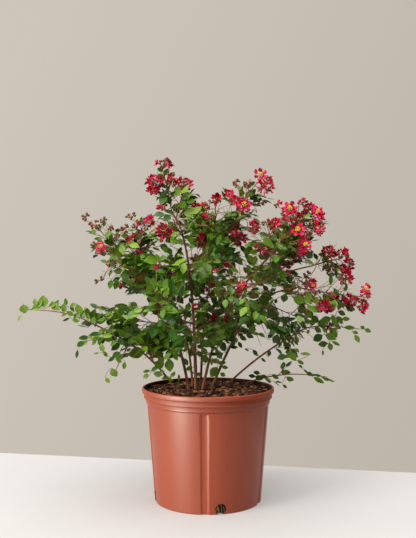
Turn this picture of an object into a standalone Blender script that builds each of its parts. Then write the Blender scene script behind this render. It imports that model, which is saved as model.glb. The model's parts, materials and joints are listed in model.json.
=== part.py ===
"""Potted crape myrtle: a multi-stemmed flowering shrub in a tapered plastic nursery pot.

The origin is the centre of the pot's underside, +Z is up and -Y faces the viewer. Sizes are in metres.
Stems and boughs are tapering limbs, and each mass of foliage is one body of twigs, leaves and blossoms.
"""

import math
import random
from collections import namedtuple

import bmesh
import bpy
import numpy as np
from mathutils import Matrix, Quaternion, Vector

# The pot: a tapered pail of moulded plastic with a two-step collar under a rolled lip.
POT_HEIGHT = 0.238
LIP_RADIUS = 0.140
LIP_DEPTH = 0.0103
COLLAR_RADIUS = 0.1355
COLLAR_DEPTH = 0.0223
LOWER_COLLAR_RADIUS = 0.1315
LOWER_COLLAR_DEPTH = 0.0325
BODY_TOP_RADIUS = 0.1290
BASE_RADIUS = 0.1125
BASE_ROUNDING = 0.0015
WALL = 0.0026
EDGE = 0.001
COLLAR_DRAFT = 0.0015
LOWER_COLLAR_DRAFT = 0.0005
POT_STEPS = 40
FLUTES = 5
FLUTE_WIDTH = 0.0160
FLUTE_DEPTH = 0.0016
FLUTE_TOP_GAP = 0.003
FLUTE_BAR = 0.02
FIRST_FLUTE_DEG = -3.2
DRAINS = 4
DRAIN_RADIUS = 0.0115
DRAIN_HEIGHT = 0.0105
DRAIN_SIDES = 12
DRAIN_CUT = 0.03
FIRST_DRAIN_DEG = 13.0

# The potting mix fills the pot to a little under its lip. Neighbouring pieces keep a gap.
SOIL_LEVEL = 0.230
SOIL_TOP_SHARE = 0.8
GAP = 0.0003

# The limbs' sections and the way they are drawn.
STEM_SIDES = 6
BOUGH_SIDES = 6
TWIG_SIDES = 3
STEM_POINTS = 6
BOUGH_POINTS = 4
SPINE_POINTS = 4
FLARE = 1.55
FLARE_HEIGHT = 0.012
SHARP_ANGLE = math.radians(35)

# Leaves are larger and fewer than on the plant. Lengths and swings vary from one to the next.
SEED = 7
LEAF_LENGTH = 0.047
LEAF_WIDTH = 0.63
LEAF_THICKNESS = 0.0012
LEAF_SIDES = 6
LEAF_SPACING = 0.0225
LEAF_SIZES = (0.85, 1.10)
LEAF_SWINGS = (0.7, 1.2)
LEAF_RISES = (-0.25, 0.10)
TIP_LEAF_SWING = 0.3
FIRST_LEAF_SHARE = 0.6
SPINE_RADIUS = 0.0018
SPINE_TIP_RADIUS = 0.0011
TWIG_RADIUS = 0.0009
TWIG_TIP_RADIUS = 0.0007
TIP_SINK = 0.0022
FIRST_TWIG = 0.10
TWIG_STRETCH = 0.78
TWIG_STRETCH_UNDER_BLOSSOM = 0.62
TWIG_LEANS_DEG = (44, 66)
TWIG_RISE = 0.25
TWIG_LENGTHS = (0.85, 1.10)
TWIG_SWAY = 0.6
BLOSSOM_RADIUS = 0.020
BLOSSOM_SIZES = (0.90, 1.15)
BLOSSOM_FLATNESS = 0.72
BLOSSOM_STEP = 0.75
BLOSSOM_OFFSET = 0.7
SPACE_MARGIN = 0.0012
LIMB_CLEARANCE = 0.0012
GOLDEN_ANGLE = math.radians(137.5)
CROWN_CENTRE = Vector((0.0, 0.02, 0.40))
FACING_UP = 0.45
FACING_OUT = 0.35
FACING_LEVEL = 0.45
FACING_SWAY = 0.3
TWIG_TRIES = 6
LEAF_TRIES = 8

# A leaf is tested at points on rings over its unit disc, and its outer points are those past its foot.
SAMPLE_STEP = 0.003
BLADE_RINGS = ((1.0, 0.0), (0.866, math.pi / 6), (0.5, 0.0))
BLADE_REACH = 1.05
OUTER_POINTS = 14
PAST_FOOT = -0.7
PAST_FOOT_FOR_TWIGS = -0.4
LEAF_CLEARANCE = 0.002
POT_CLEARANCE = 0.0035

# arch 0 is a straight limb. Towards 1 it climbs first and leans out afterwards, and lift raises its middle.
Limb = namedtuple("Limb", "name parent share end foot_radius end_radius arch lift", defaults=(0.0,))

# spread is how far the twigs reach from the mass's own stem, blossoms counts the parts of its flower head,
# and leaf is the size of its leaves against the common one.
MASS_FIELDS = "name parent share tip spread twigs blossoms leaf arch lift"
Mass = namedtuple("Mass", MASS_FIELDS, defaults=(1.0, 0.2, 0.0))

FEET = {
    "stem_far_left": (-0.070, 0.005),
    "stem_left": (-0.042, 0.014),
    "stem_leader": (-0.026, 0.010),
    "stem_centre": (-0.011, 0.002),
    "stem_right": (0.009, 0.030),
    "stem_low_right": (0.036, 0.058),
    "stem_far_right": (0.085, 0.078),
    "stem_back": (-0.016, 0.075),
    "stem_back_left": (-0.034, 0.058),
}

STEMS = (
    Limb("stem_far_left", None, 0.0, (-0.164, -0.020, 0.332), 0.0022, 0.0017, 0.18),
    Limb("stem_left", None, 0.0, (-0.132, 0.000, 0.452), 0.0031, 0.0021, 0.42),
    Limb("stem_leader", None, 0.0, (-0.077, 0.010, 0.606), 0.0036, 0.0017, 0.80),
    Limb("stem_centre", None, 0.0, (0.079, -0.030, 0.459), 0.0031, 0.0020, 0.35),
    Limb("stem_right", None, 0.0, (0.096, 0.040, 0.414), 0.0030, 0.0020, 0.06),
    Limb("stem_low_right", None, 0.0, (0.212, 0.030, 0.360), 0.0022, 0.0016, 0.15),
    Limb("stem_far_right", None, 0.0, (0.170, 0.068, 0.254), 0.0016, 0.0013, 0.30),
    Limb("stem_back", None, 0.0, (0.010, 0.135, 0.470), 0.0027, 0.0018, 0.55),
    Limb("stem_back_left", None, 0.0, (-0.095, 0.125, 0.430), 0.0026, 0.0018, 0.60),
)

BOUGHS = (
    Limb("bough_far_left", "stem_far_left", 1.0, (-0.250, -0.035, 0.378), 0.0016, 0.0014, 0.10),
    Limb("bough_low_left", "stem_far_left", 0.80, (-0.185, -0.055, 0.338), 0.0014, 0.0013, 0.30),
    Limb("bough_upper_left", "stem_left", 1.0, (-0.184, 0.010, 0.503), 0.0019, 0.0016, 0.10),
    Limb("bough_right_leader", "stem_leader", 0.50, (0.040, 0.000, 0.571), 0.0022, 0.0017, 0.05),
    Limb("bough_front_left", "stem_leader", 0.24, (-0.070, -0.100, 0.385), 0.0017, 0.0015, 0.30),
    Limb("bough_front_right", "stem_leader", 0.34, (0.040, -0.095, 0.436), 0.0017, 0.0015, 0.10),
    Limb("bough_upper_right", "stem_centre", 1.0, (0.155, -0.020, 0.540), 0.0019, 0.0016, 0.05),
    Limb("bough_right", "stem_centre", 0.88, (0.225, 0.020, 0.495), 0.0017, 0.0014, 0.25),
    Limb("bough_right_low", "stem_right", 1.0, (0.186, -0.020, 0.450), 0.0018, 0.0014, 0.25),
    Limb("bough_back_right", "stem_back", 0.55, (0.095, 0.165, 0.430), 0.0018, 0.0015, 0.20),
)

MASSES = (
    Mass("foliage_far_left", "bough_far_left", 1.0, (-0.388, -0.050, 0.392), 0.024, 6, 0, 0.70, 0.4, 0.012),
    Mass("foliage_low_left", "bough_low_left", 1.0, (-0.252, -0.070, 0.340), 0.026, 5, 0, 0.75, 0.2, 0.012),
    Mass("foliage_left_droop", "bough_low_left", 0.62, (-0.185, -0.10, 0.285), 0.022, 4, 0, 0.65, 0.2, 0.010),
    Mass("foliage_left_low", "stem_left", 0.36, (-0.135, -0.085, 0.330), 0.042, 7, 0, 0.95, 0.2, 0.008),
    Mass("foliage_left_behind", "stem_far_left", 0.55, (-0.145, 0.060, 0.360), 0.044, 7, 0),
    Mass("foliage_left_middle", "stem_left", 0.52, (-0.210, -0.050, 0.385), 0.048, 8, 0),
    Mass("foliage_left_inner", "stem_left", 0.70, (-0.140, 0.065, 0.455), 0.050, 6, 0),
    Mass("foliage_upper_left", "bough_upper_left", 1.0, (-0.245, 0.018, 0.583), 0.034, 6, 2, 0.85),
    Mass("foliage_left_crimson", "bough_upper_left", 0.55, (-0.140, 0.010, 0.580), 0.042, 6, 1, 0.9),
    Mass("foliage_left_flower", "stem_left", 0.85, (-0.208, -0.062, 0.530), 0.038, 7, 1, 0.9),
    Mass("foliage_dark_left", "stem_leader", 0.70, (-0.092, -0.055, 0.592), 0.044, 6, 2),
    Mass("foliage_left_centre", "stem_leader", 0.50, (-0.095, -0.060, 0.480), 0.050, 7, 0),
    Mass("foliage_top", "stem_leader", 1.0, (-0.104, 0.010, 0.722), 0.032, 6, 3, 0.8),
    Mass("foliage_second_top", "stem_leader", 0.90, (-0.046, 0.030, 0.675), 0.036, 5, 2, 0.85),
    Mass("foliage_right_top", "bough_right_leader", 1.0, (0.120, 0.020, 0.688), 0.035, 6, 3, 0.8),
    Mass("foliage_centre_top", "bough_right_leader", 0.72, (0.015, -0.055, 0.618), 0.046, 7, 1),
    Mass("foliage_right_flower", "bough_right_leader", 0.92, (0.080, -0.040, 0.600), 0.040, 6, 2, 0.9),
    Mass("foliage_centre", "stem_leader", 0.56, (0.010, -0.105, 0.505), 0.054, 9, 0),
    Mass("foliage_centre_back", "bough_right_leader", 0.30, (0.030, 0.070, 0.545), 0.054, 8, 0),
    Mass("foliage_front_right", "bough_front_right", 1.0, (0.090, -0.160, 0.455), 0.054, 7, 1),
    Mass("foliage_front_left", "bough_front_left", 1.0, (-0.105, -0.175, 0.425), 0.054, 7, 0),
    Mass("foliage_front_low", "bough_front_left", 0.60, (-0.020, -0.130, 0.355), 0.050, 7, 0),
    Mass("foliage_middle_right", "stem_centre", 0.66, (0.115, -0.080, 0.385), 0.052, 7, 0),
    Mass("foliage_big_crimson", "bough_upper_right", 1.0, (0.218, -0.010, 0.618), 0.036, 6, 4, 0.9),
    Mass("foliage_upper_right", "bough_upper_right", 0.60, (0.125, -0.090, 0.556), 0.048, 8, 2),
    Mass("foliage_right_front", "bough_upper_right", 0.86, (0.196, -0.072, 0.550), 0.042, 7, 2),
    Mass("foliage_right", "bough_right", 1.0, (0.288, 0.020, 0.510), 0.034, 6, 3, 0.85),
    Mass("foliage_right_inner", "bough_right", 0.55, (0.190, 0.065, 0.545), 0.050, 7, 0),
    Mass("foliage_right_fork", "bough_right_low", 0.70, (0.225, -0.075, 0.430), 0.046, 7, 2),
    Mass("foliage_right_tip", "bough_right_low", 1.0, (0.338, -0.020, 0.428), 0.042, 7, 3, 0.9),
    Mass("foliage_right_low", "bough_right_low", 0.25, (0.205, 0.080, 0.380), 0.046, 7, 0),
    Mass("foliage_low_right", "stem_low_right", 1.0, (0.322, 0.000, 0.360), 0.035, 7, 0, 0.8, 0.3, 0.010),
    Mass("foliage_right_droop", "stem_low_right", 0.80, (0.176, -0.03, 0.306), 0.030, 5, 0, 0.7, 0.1, 0.010),
    Mass("foliage_far_right", "stem_far_right", 1.0, (0.262, 0.055, 0.250), 0.022, 5, 0, 0.65, 0.2, 0.006),
    Mass("foliage_back_right", "bough_back_right", 1.0, (0.180, 0.175, 0.500), 0.058, 7, 1),
    Mass("foliage_back_low", "stem_back", 0.42, (0.050, 0.200, 0.375), 0.054, 6, 0),
    Mass("foliage_back_top", "stem_back", 1.0, (-0.005, 0.130, 0.640), 0.052, 7, 2),
    Mass("foliage_back", "stem_back", 0.88, (0.000, 0.230, 0.500), 0.056, 7, 1),
    Mass("foliage_back_left", "stem_back_left", 1.0, (-0.165, 0.170, 0.505), 0.058, 7, 1),
)


def material(name, colour, roughness):
    """A Principled material of one colour."""
    made = bpy.data.materials.new(name)
    made.use_nodes = True
    shader = made.node_tree.nodes["Principled BSDF"]
    shader.inputs["Base Color"].default_value = (*colour, 1.0)
    shader.inputs["Roughness"].default_value = roughness
    shader.inputs["Metallic"].default_value = 0.0
    return made


def collection(name):
    made = bpy.data.collections.new(name)
    bpy.context.scene.collection.children.link(made)
    return made


def remove_object(made):
    data = made.data
    bpy.data.objects.remove(made)
    if isinstance(data, bpy.types.Mesh):
        bpy.data.meshes.remove(data)
    else:
        bpy.data.curves.remove(data)


def mesh_object(name, solid, shade, where):
    """An object from a bmesh, in the collection where."""
    data = bpy.data.meshes.new(name)
    solid.to_mesh(data)
    solid.free()
    data.materials.append(shade)
    made = bpy.data.objects.new(name, data)
    where.objects.link(made)
    return made


def cutter_object(name, solid, where):
    made = mesh_object(name, solid, bpy.data.materials["pot"], where)
    made.hide_render = True
    made.display_type = "WIRE"
    return made


def shade_round(made):
    """Smooth shading, with a crease at each real edge."""
    made.data.shade_smooth()
    made.data.set_sharp_from_angle(angle=SHARP_ANGLE)


def evaluated_mesh(source):
    """The mesh of an object as its modifiers or its bevel leave it, with loose caps welded."""
    bpy.context.view_layer.update()
    graph = bpy.context.evaluated_depsgraph_get()
    data = bpy.data.meshes.new_from_object(source.evaluated_get(graph))
    solid = bmesh.new()
    solid.from_mesh(data)
    bmesh.ops.remove_doubles(solid, verts=solid.verts, dist=1e-6)
    bmesh.ops.recalc_face_normals(solid, faces=solid.faces)
    solid.to_mesh(data)
    solid.free()
    return data


def boolean(target, operation, solver, other):
    """Adds one Boolean modifier against an object or a collection, and applies it."""
    modifier = target.modifiers.new(operation.title(), "BOOLEAN")
    modifier.operation = operation
    modifier.solver = solver
    if isinstance(other, bpy.types.Collection):
        modifier.operand_type = "COLLECTION"
        modifier.collection = other
    else:
        modifier.object = other
    data = evaluated_mesh(target)
    target.modifiers.clear()
    old = target.data
    target.data = data
    bpy.data.meshes.remove(old)


# Limbs


def limb_curve(start, end, arch, lift, points):
    """Points of a limb that bends evenly from start to end."""
    start, end = Vector(start), Vector(end)
    across = Vector((end.x - start.x, end.y - start.y, 0.0))
    bend = start + across * (1 - arch) / 2 + Vector((0, 0, (end.z - start.z) * (1 + arch) / 2 + lift))
    shares = [i / (points - 1) for i in range(points)]
    return [start * (1 - t) ** 2 + bend * 2 * t * (1 - t) + end * t**2 for t in shares]


def at_share(path, share):
    """The point and the direction at a share of a path's points."""
    place = min(share, 0.9999) * (len(path) - 1)
    first = int(place)
    step = path[first + 1] - path[first]
    return path[first] + step * (place - first), step.normalized()


class Grown:
    """A limb with its path and its radius at each point."""

    def __init__(self, limb, path, radii, sides):
        self.limb, self.path, self.radii, self.sides = limb, path, radii, sides

    def radius_at(self, share):
        place = min(share, 0.9999) * (len(self.radii) - 1)
        first = int(place)
        return self.radii[first] + (self.radii[first + 1] - self.radii[first]) * (place - first)


def start_on(parent, share, end, radius):
    """Where a limb begins: on its parent's axis, or just past its parent's tip."""
    point, along = at_share(parent.path, share)
    if share < 1.0:
        return point
    point = parent.path[-1]
    turn = along.angle(Vector(end) - point)
    return point + along * (GAP + radius * math.sin(turn))


def grow_stem(limb):
    """A stem with a flared foot, cut level at the top of the potting mix."""
    foot = Vector((*FEET[limb.name], SOIL_LEVEL + GAP))
    rise = foot + Vector((0, 0, FLARE_HEIGHT / 4))
    path = [foot, *limb_curve(rise, limb.end, limb.arch, limb.lift, STEM_POINTS)]
    radii = []
    for point in path:
        share = (point.z - foot.z) / (limb.end[2] - foot.z)
        flare = 1 + (FLARE - 1) * max(0.0, 1 - (point.z - foot.z) / FLARE_HEIGHT)
        radii.append((limb.foot_radius + (limb.end_radius - limb.foot_radius) * share) * flare)
    return Grown(limb, path, radii, STEM_SIDES)


def grow_bough(limb, grown):
    parent = grown[limb.parent]
    start = start_on(parent, limb.share, limb.end, limb.foot_radius)
    path = limb_curve(start, limb.end, limb.arch, limb.lift, BOUGH_POINTS)
    shares = [i / (len(path) - 1) for i in range(len(path))]
    radii = [limb.foot_radius + (limb.end_radius - limb.foot_radius) * s for s in shares]
    return Grown(limb, path, radii, BOUGH_SIDES)


def tube(name, path, radii, sides, shade, where):
    """A tapering tube on a poly spline. Three sides come from a triangle as its section."""
    curve = bpy.data.curves.new(name, "CURVE")
    curve.dimensions = "3D"
    curve.use_fill_caps = True
    spline = curve.splines.new("POLY")
    spline.points.add(len(path) - 1)
    for point, place, radius in zip(spline.points, path, radii):
        point.co = (*place, 1.0)
        point.radius = radius
    if sides == TWIG_SIDES:
        curve.bevel_mode = "OBJECT"
        curve.bevel_object = bpy.data.objects["twig_section"]
    else:
        curve.bevel_depth = 1.0
        curve.bevel_resolution = sides // 2 - 2
    curve.materials.append(shade)
    made = bpy.data.objects.new(name, curve)
    where.objects.link(made)
    return made


def as_mesh(source, where):
    """Replaces a curve object by the mesh of its tube."""
    data = evaluated_mesh(source)
    name, place = source.name, source.matrix_world.copy()
    remove_object(source)
    made = bpy.data.objects.new(name, data)
    made.matrix_world = place
    where.objects.link(made)
    return made


def parent_cutter(parent, where):
    """The parent limb made a gap thicker, which cuts a fork's seat clear of it."""
    thicker = [r + GAP / math.cos(math.pi / parent.sides) for r in parent.radii]
    cutter = tube("parent_cutter", parent.path, thicker, parent.sides, bpy.data.materials["bark"], where)
    cutter = as_mesh(cutter, where)
    cutter.hide_render = True
    cutter.display_type = "WIRE"
    return cutter


def seat_on(made, parent, cutters):
    """Cuts the root of a limb or a mass to a saddle that lies a gap off its parent."""
    cutter = parent_cutter(parent, cutters)
    boolean(made, "DIFFERENCE", "EXACT", cutter)
    remove_object(cutter)


# The space of each mass


class Space:
    """Which mass a point belongs to, and where the limbs and the pot are."""

    def __init__(self, spines, grown):
        self.names = list(spines)
        finer = {name: self.sampled(path) for name, path in spines.items()}
        self.points = np.concatenate([finer[name] for name in self.names])
        self.owners = np.concatenate([np.full(len(finer[n]), i) for i, n in enumerate(self.names)])
        limb_points, limb_radii = [], []
        for limb in grown.values():
            found = self.sampled(limb.path)
            limb_points.append(found)
            at, known = np.linspace(0, 1, len(found)), np.linspace(0, 1, len(limb.radii))
            limb_radii.append(np.interp(at, known, limb.radii))
        self.limb_points = np.concatenate(limb_points)
        self.limb_radii = np.concatenate(limb_radii)

    @staticmethod
    def sampled(path):
        """Points along a path, a small step apart."""
        found = [np.array(path[0])]
        for a, b in zip(path, path[1:]):
            count = max(1, math.ceil((b - a).length / SAMPLE_STEP))
            found += [np.array(a.lerp(b, (i + 1) / count)) for i in range(count)]
        return np.array(found)

    def owned(self, places, name, margin):
        """Whether all these points lie nearer this mass's spine than any other's, by twice the margin."""
        away = np.linalg.norm(places[:, None, :] - self.points[None, :, :], axis=2)
        mine = self.owners == self.names.index(name)
        return bool((away[:, mine].min(axis=1) + 2 * margin < away[:, ~mine].min(axis=1)).all())

    def off_limbs(self, places, clearance):
        away = np.linalg.norm(places[:, None, :] - self.limb_points[None, :, :], axis=2)
        return bool((away - self.limb_radii[None, :] > clearance).all())

    def blade_meets_limb(self, matrix):
        return blade_meets(matrix, self.limb_points, self.limb_radii + LIMB_CLEARANCE)

    @staticmethod
    def off_pot(places):
        out = np.hypot(places[:, 0], places[:, 1]) > LIP_RADIUS + POT_CLEARANCE
        above = places[:, 2] > POT_HEIGHT + POT_CLEARANCE
        return bool((out | above).all())


# Foliage


def sideways(along, angle):
    """A direction square to along, turned about it by angle from the level one."""
    level = along.cross(Vector((0, 0, 1)))
    if level.length < 1e-3:
        level = Vector((1, 0, 0))
    return Quaternion(along, angle) @ level.normalized()


def facing(point, rng):
    """The way a leaf's blade looks: up, away from the crown's middle, and to the front or the back."""
    out = (point - CROWN_CENTRE).normalized()
    level = Vector((0, math.copysign(1.0, point.y - CROWN_CENTRE.y), 0))
    sway = Vector([rng.uniform(-1, 1) for _ in range(3)])
    up = Vector((0, 0, FACING_UP))
    return (up + out * FACING_OUT + level * FACING_LEVEL + sway * FACING_SWAY).normalized()


def twig_path(mass, spine, share, turn, rng):
    """A straight twig that leaves the mass's stem at a share of it. Those in the middle are longest."""
    point, along = at_share(spine, share)
    out = sideways(along, turn)
    lean = math.radians(rng.uniform(*TWIG_LEANS_DEG))
    rise = Vector((0, 0, rng.uniform(0.0, TWIG_RISE)))
    heading = along * math.cos(lean) + out * math.sin(lean) + rise
    fullness = 1.05 - 0.7 * abs(share - 0.45)
    length = mass.spread * fullness * rng.uniform(*TWIG_LENGTHS)
    return [point, point + heading.normalized() * length]


def leaf_matrix(point, along, swing, size, rng):
    """Places a unit leaf that leaves its twig at an angle, its foot on the twig's axis."""
    up = facing(point, rng)
    up = (up - along * up.dot(along)).normalized()
    heading = Quaternion(up, swing) @ along
    heading = (heading + Vector((0, 0, rng.uniform(*LEAF_RISES)))).normalized()
    across = up.cross(heading).normalized()
    normal = heading.cross(across)
    length = LEAF_LENGTH * size
    turned = Matrix((across, -heading, normal)).transposed().to_4x4()
    scale = Matrix.Diagonal((length * LEAF_WIDTH / 2, length / 2, LEAF_THICKNESS, 1.0))
    centre = point + heading * length / 2 + normal * LEAF_THICKNESS / 2
    return Matrix.Translation(centre) @ turned @ scale


def blade_points(matrix):
    """Points all over a leaf, for testing that it keeps its distance. Its foot half comes last."""
    flat = [(0.0, 0.0)]
    for radius, turn in BLADE_RINGS:
        for i in range(LEAF_SIDES):
            angle = math.tau * i / LEAF_SIDES + turn
            flat.append((radius * math.sin(angle), radius * math.cos(angle)))
    flat.sort(key=lambda place: -place[1])
    return np.array([matrix @ Vector((x, y, 0)) for x, y in flat])


def blade_meets(matrix, places, clearance, foot=-1.0):
    """Whether any of these points lies over a leaf's blade, past its foot, and within a clearance of it."""
    inverse = np.array(matrix.inverted())
    local = places @ inverse[:3, :3].T + inverse[:3, 3]
    over = (np.hypot(local[:, 0], local[:, 1]) < BLADE_REACH) & (local[:, 1] > foot)
    return bool((over & (np.abs(local[:, 2]) * LEAF_THICKNESS < clearance)).any())


def add_leaf(name, matrix, shade, where):
    """A low six-sided cone drawn out into a thin blade with a point at either end."""
    solid = bmesh.new()
    bmesh.ops.create_cone(
        solid, cap_ends=True, segments=LEAF_SIDES, radius1=1.0, radius2=0.0, depth=1.0
    )
    solid.transform(matrix)
    return mesh_object(name, solid, shade, where)


def add_blossom(name, place, radius, turn, shade, where):
    """Two flat six-sided pyramids, base to base: an open flower of six petals."""
    solid = bmesh.new()
    bmesh.ops.create_uvsphere(solid, u_segments=6, v_segments=2, radius=radius)
    flat = Matrix.Diagonal((1.0, 1.0, BLOSSOM_FLATNESS, 1.0))
    solid.transform(Matrix.Translation(place) @ turn.to_matrix().to_4x4() @ flat)
    return mesh_object(name, solid, shade, where)


class Growth:
    """What a mass is made of: its twigs, the matrices of its leaves, and its blossoms."""

    def __init__(self, mass, spine, space):
        self.mass, self.spine, self.space = mass, spine, space
        self.rng = random.Random(f"{SEED} {mass.name}")
        self.twigs, self.leaves = [], []
        self.bodies = [Space.sampled(spine)]
        self.blossoms = [b for b in self.flower_head() if self.has_room(b)]
        turn = self.rng.uniform(0, math.tau)
        stretch = TWIG_STRETCH_UNDER_BLOSSOM if self.blossoms else TWIG_STRETCH
        for i in range(mass.twigs):
            self.grow_twig(FIRST_TWIG + stretch * (i + 0.5) / mass.twigs, turn + i * GOLDEN_ANGLE)
        head = len(self.blossoms) * BLOSSOM_RADIUS / 2
        leafy = [p for p in spine if (p - spine[-1]).length > head] if self.blossoms else spine
        if len(leafy) > 1:
            self.leaves += self.leaves_along(leafy, LEAF_SPACING)

    def flower_head(self):
        """Blossoms round the end of a mass's stem, close enough to it and each other to join."""
        end, along = at_share(self.spine, 1.0)
        places = []
        for i in range(self.mass.blossoms):
            radius = BLOSSOM_RADIUS * self.rng.uniform(*BLOSSOM_SIZES)
            out = sideways(along, i * GOLDEN_ANGLE) * (BLOSSOM_OFFSET if i else BLOSSOM_OFFSET / 3)
            back = along * (BLOSSOM_STEP * i + 0.5)
            places.append((end + (out - back) * BLOSSOM_RADIUS, radius))
        return places

    def has_room(self, blossom):
        place, radius = blossom
        near = np.array([place])
        owned = self.space.owned(near, self.mass.name, SPACE_MARGIN + radius)
        return owned and self.space.off_limbs(near, LIMB_CLEARANCE + radius)

    def grow_twig(self, share, turn):
        """Tries a few headings for a twig and keeps the one that has room for the most leaves."""
        best, best_leaves = None, []
        for _ in range(TWIG_TRIES):
            swayed = turn + self.rng.uniform(-TWIG_SWAY, TWIG_SWAY)
            path = twig_path(self.mass, self.spine, share, swayed, self.rng)
            body = Space.sampled(path)[1:]
            if (
                self.space.owned(body, self.mass.name, SPACE_MARGIN + TWIG_RADIUS)
                and self.space.off_limbs(body, LIMB_CLEARANCE + TWIG_RADIUS)
                and self.space.off_pot(body)
                and not self.meets_leaf(body)
            ):
                leaves = self.leaves_along(path, LEAF_SPACING * FIRST_LEAF_SHARE)
                if len(leaves) > len(best_leaves):
                    best, best_leaves = (path, body), leaves
        if best:
            self.twigs.append(best[0])
            self.bodies.append(best[1])
            self.leaves += best_leaves

    def meets_leaf(self, body):
        return any(blade_meets(leaf, body, LEAF_CLEARANCE, PAST_FOOT_FOR_TWIGS) for leaf, _ in self.leaves)

    def leaves_along(self, path, first):
        """Leaves along a twig, on either side in turn, and one at its tip, where they have room."""
        length = sum((b - a).length for a, b in zip(path, path[1:]))
        spacing = LEAF_SPACING * self.mass.leaf
        count = max(1, int((length - first) / spacing))
        side = self.rng.choice((-1, 1))
        grown = []
        for i in range(count + 1):
            last = i == count
            place = 1 - TIP_SINK / length if last else (first + i * spacing) / length
            point, along = at_share(path, place)
            for _ in range(LEAF_TRIES):
                swing = side * self.rng.uniform(*LEAF_SWINGS)
                if last:
                    swing = self.rng.uniform(-TIP_LEAF_SWING, TIP_LEAF_SWING)
                size = self.mass.leaf * self.rng.uniform(*LEAF_SIZES)
                matrix = leaf_matrix(point, along, swing, size, self.rng)
                points = blade_points(matrix)
                if self.leaf_has_room(matrix, points, grown):
                    grown.append((matrix, points))
                    break
            side = -side
        return grown

    def leaf_has_room(self, matrix, points, grown):
        """Whether a leaf stays in its mass's space, off the limbs and off what the mass has so far."""
        if not self.space.owned(points, self.mass.name, SPACE_MARGIN):
            return False
        if self.space.blade_meets_limb(matrix) or not self.space.off_pot(points):
            return False
        for place, radius in self.blossoms:
            if np.linalg.norm(points - np.array(place), axis=1).min() < radius * BLOSSOM_FLATNESS:
                return False
        outer = points[:OUTER_POINTS]
        for leaf, other in [*self.leaves, *grown]:
            if blade_meets(leaf, outer, LEAF_CLEARANCE):
                return False
            if blade_meets(matrix, other[:OUTER_POINTS], LEAF_CLEARANCE):
                return False
        return not any(blade_meets(matrix, body, TWIG_RADIUS, PAST_FOOT) for body in self.bodies)


def one_body(made):
    """Keeps the outer shell of the fused mass: loose scraps and sealed hollows go."""
    solid = bmesh.new()
    solid.from_mesh(made.data)
    left, shells = set(solid.faces), []
    while left:
        shell, edge = set(), [left.pop()]
        while edge:
            face = edge.pop()
            shell.add(face)
            near = {f for e in face.edges for f in e.link_faces} & left
            left -= near
            edge.extend(near)
        shells.append(shell)
    largest = max(shells, key=lambda shell: sum(f.calc_area() for f in shell))
    loose = [f for shell in shells if shell is not largest for f in shell]
    bmesh.ops.delete(solid, geom=loose, context="FACES")
    solid.to_mesh(made.data)
    solid.free()


def build_mass(mass, spine, parent, space, shade, where, cutters):
    """Fuses a mass's stem, twigs, leaves and blossoms into one body seated on its parent."""
    growth = Growth(mass, spine, space)
    pieces = collection(mass.name + "_pieces")
    radii = np.linspace(SPINE_RADIUS, SPINE_TIP_RADIUS, len(spine)).tolist()
    stem = as_mesh(tube(mass.name, spine, radii, TWIG_SIDES, shade, where), where)
    for i, path in enumerate(growth.twigs):
        radii = (TWIG_RADIUS, TWIG_TIP_RADIUS)
        as_mesh(tube(f"twig_{i}", path, radii, TWIG_SIDES, shade, pieces), pieces)
    for i, (matrix, _) in enumerate(growth.leaves):
        add_leaf(f"leaf_{i}", matrix, shade, pieces)
    for i, (place, radius) in enumerate(growth.blossoms):
        turn = Quaternion(Vector((1, i, 2)).normalized(), i * GOLDEN_ANGLE)
        add_blossom(f"blossom_{i}", place, radius, turn, shade, pieces)
    boolean(stem, "UNION", "MANIFOLD", pieces)
    for piece in list(pieces.objects):
        remove_object(piece)
    bpy.data.collections.remove(pieces)
    if mass.share < 1.0:
        seat_on(stem, parent, cutters)
    one_body(stem)
    stem.data.shade_flat()
    return len(growth.leaves), len(growth.blossoms)


# Pot and potting mix


def turned(name, profile, steps, shade, where):
    """A solid of revolution from a profile that runs from the axis, round the outside, and back to it."""
    data = bpy.data.meshes.new(name)
    edges = [(i, i + 1) for i in range(len(profile) - 1)]
    data.from_pydata([(r, 0.0, z) for r, z in profile], edges, [])
    data.materials.append(shade)
    made = bpy.data.objects.new(name, data)
    where.objects.link(made)
    screw = made.modifiers.new("Screw", "SCREW")
    screw.steps = steps
    screw.render_steps = steps
    screw.use_merge_vertices = True
    screw.merge_threshold = 0.0001
    made.data = evaluated_mesh(made)
    made.modifiers.clear()
    bpy.data.meshes.remove(data)
    return made


def wall_radius(height):
    """The outer radius of the pot's tapered body at a height."""
    share = height / (POT_HEIGHT - LOWER_COLLAR_DEPTH)
    return BASE_RADIUS + (BODY_TOP_RADIUS - BASE_RADIUS) * share


def pot_profile():
    """The pot's section from its axis at the top of the floor, up inside, over the lip and down outside."""
    shoulder = POT_HEIGHT - LOWER_COLLAR_DEPTH
    step = POT_HEIGHT - COLLAR_DEPTH
    under_lip = POT_HEIGHT - LIP_DEPTH
    return (
        (0.0, WALL),
        (wall_radius(WALL) - WALL, WALL),
        (BODY_TOP_RADIUS - WALL, shoulder + EDGE),
        (LOWER_COLLAR_RADIUS - WALL, step + EDGE),
        (COLLAR_RADIUS - WALL, under_lip + 2 * EDGE),
        (LIP_RADIUS - WALL, POT_HEIGHT),
        (LIP_RADIUS, POT_HEIGHT - EDGE),
        (LIP_RADIUS - EDGE, under_lip + 2 * EDGE),
        (COLLAR_RADIUS, under_lip),
        (COLLAR_RADIUS - COLLAR_DRAFT, step + COLLAR_DRAFT),
        (LOWER_COLLAR_RADIUS + LOWER_COLLAR_DRAFT, step),
        (LOWER_COLLAR_RADIUS, shoulder + EDGE),
        (BODY_TOP_RADIUS, shoulder - EDGE),
        (wall_radius(BASE_ROUNDING), BASE_ROUNDING),
        (BASE_RADIUS - BASE_ROUNDING, 0.0),
        (0.0, 0.0),
    )


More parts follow.
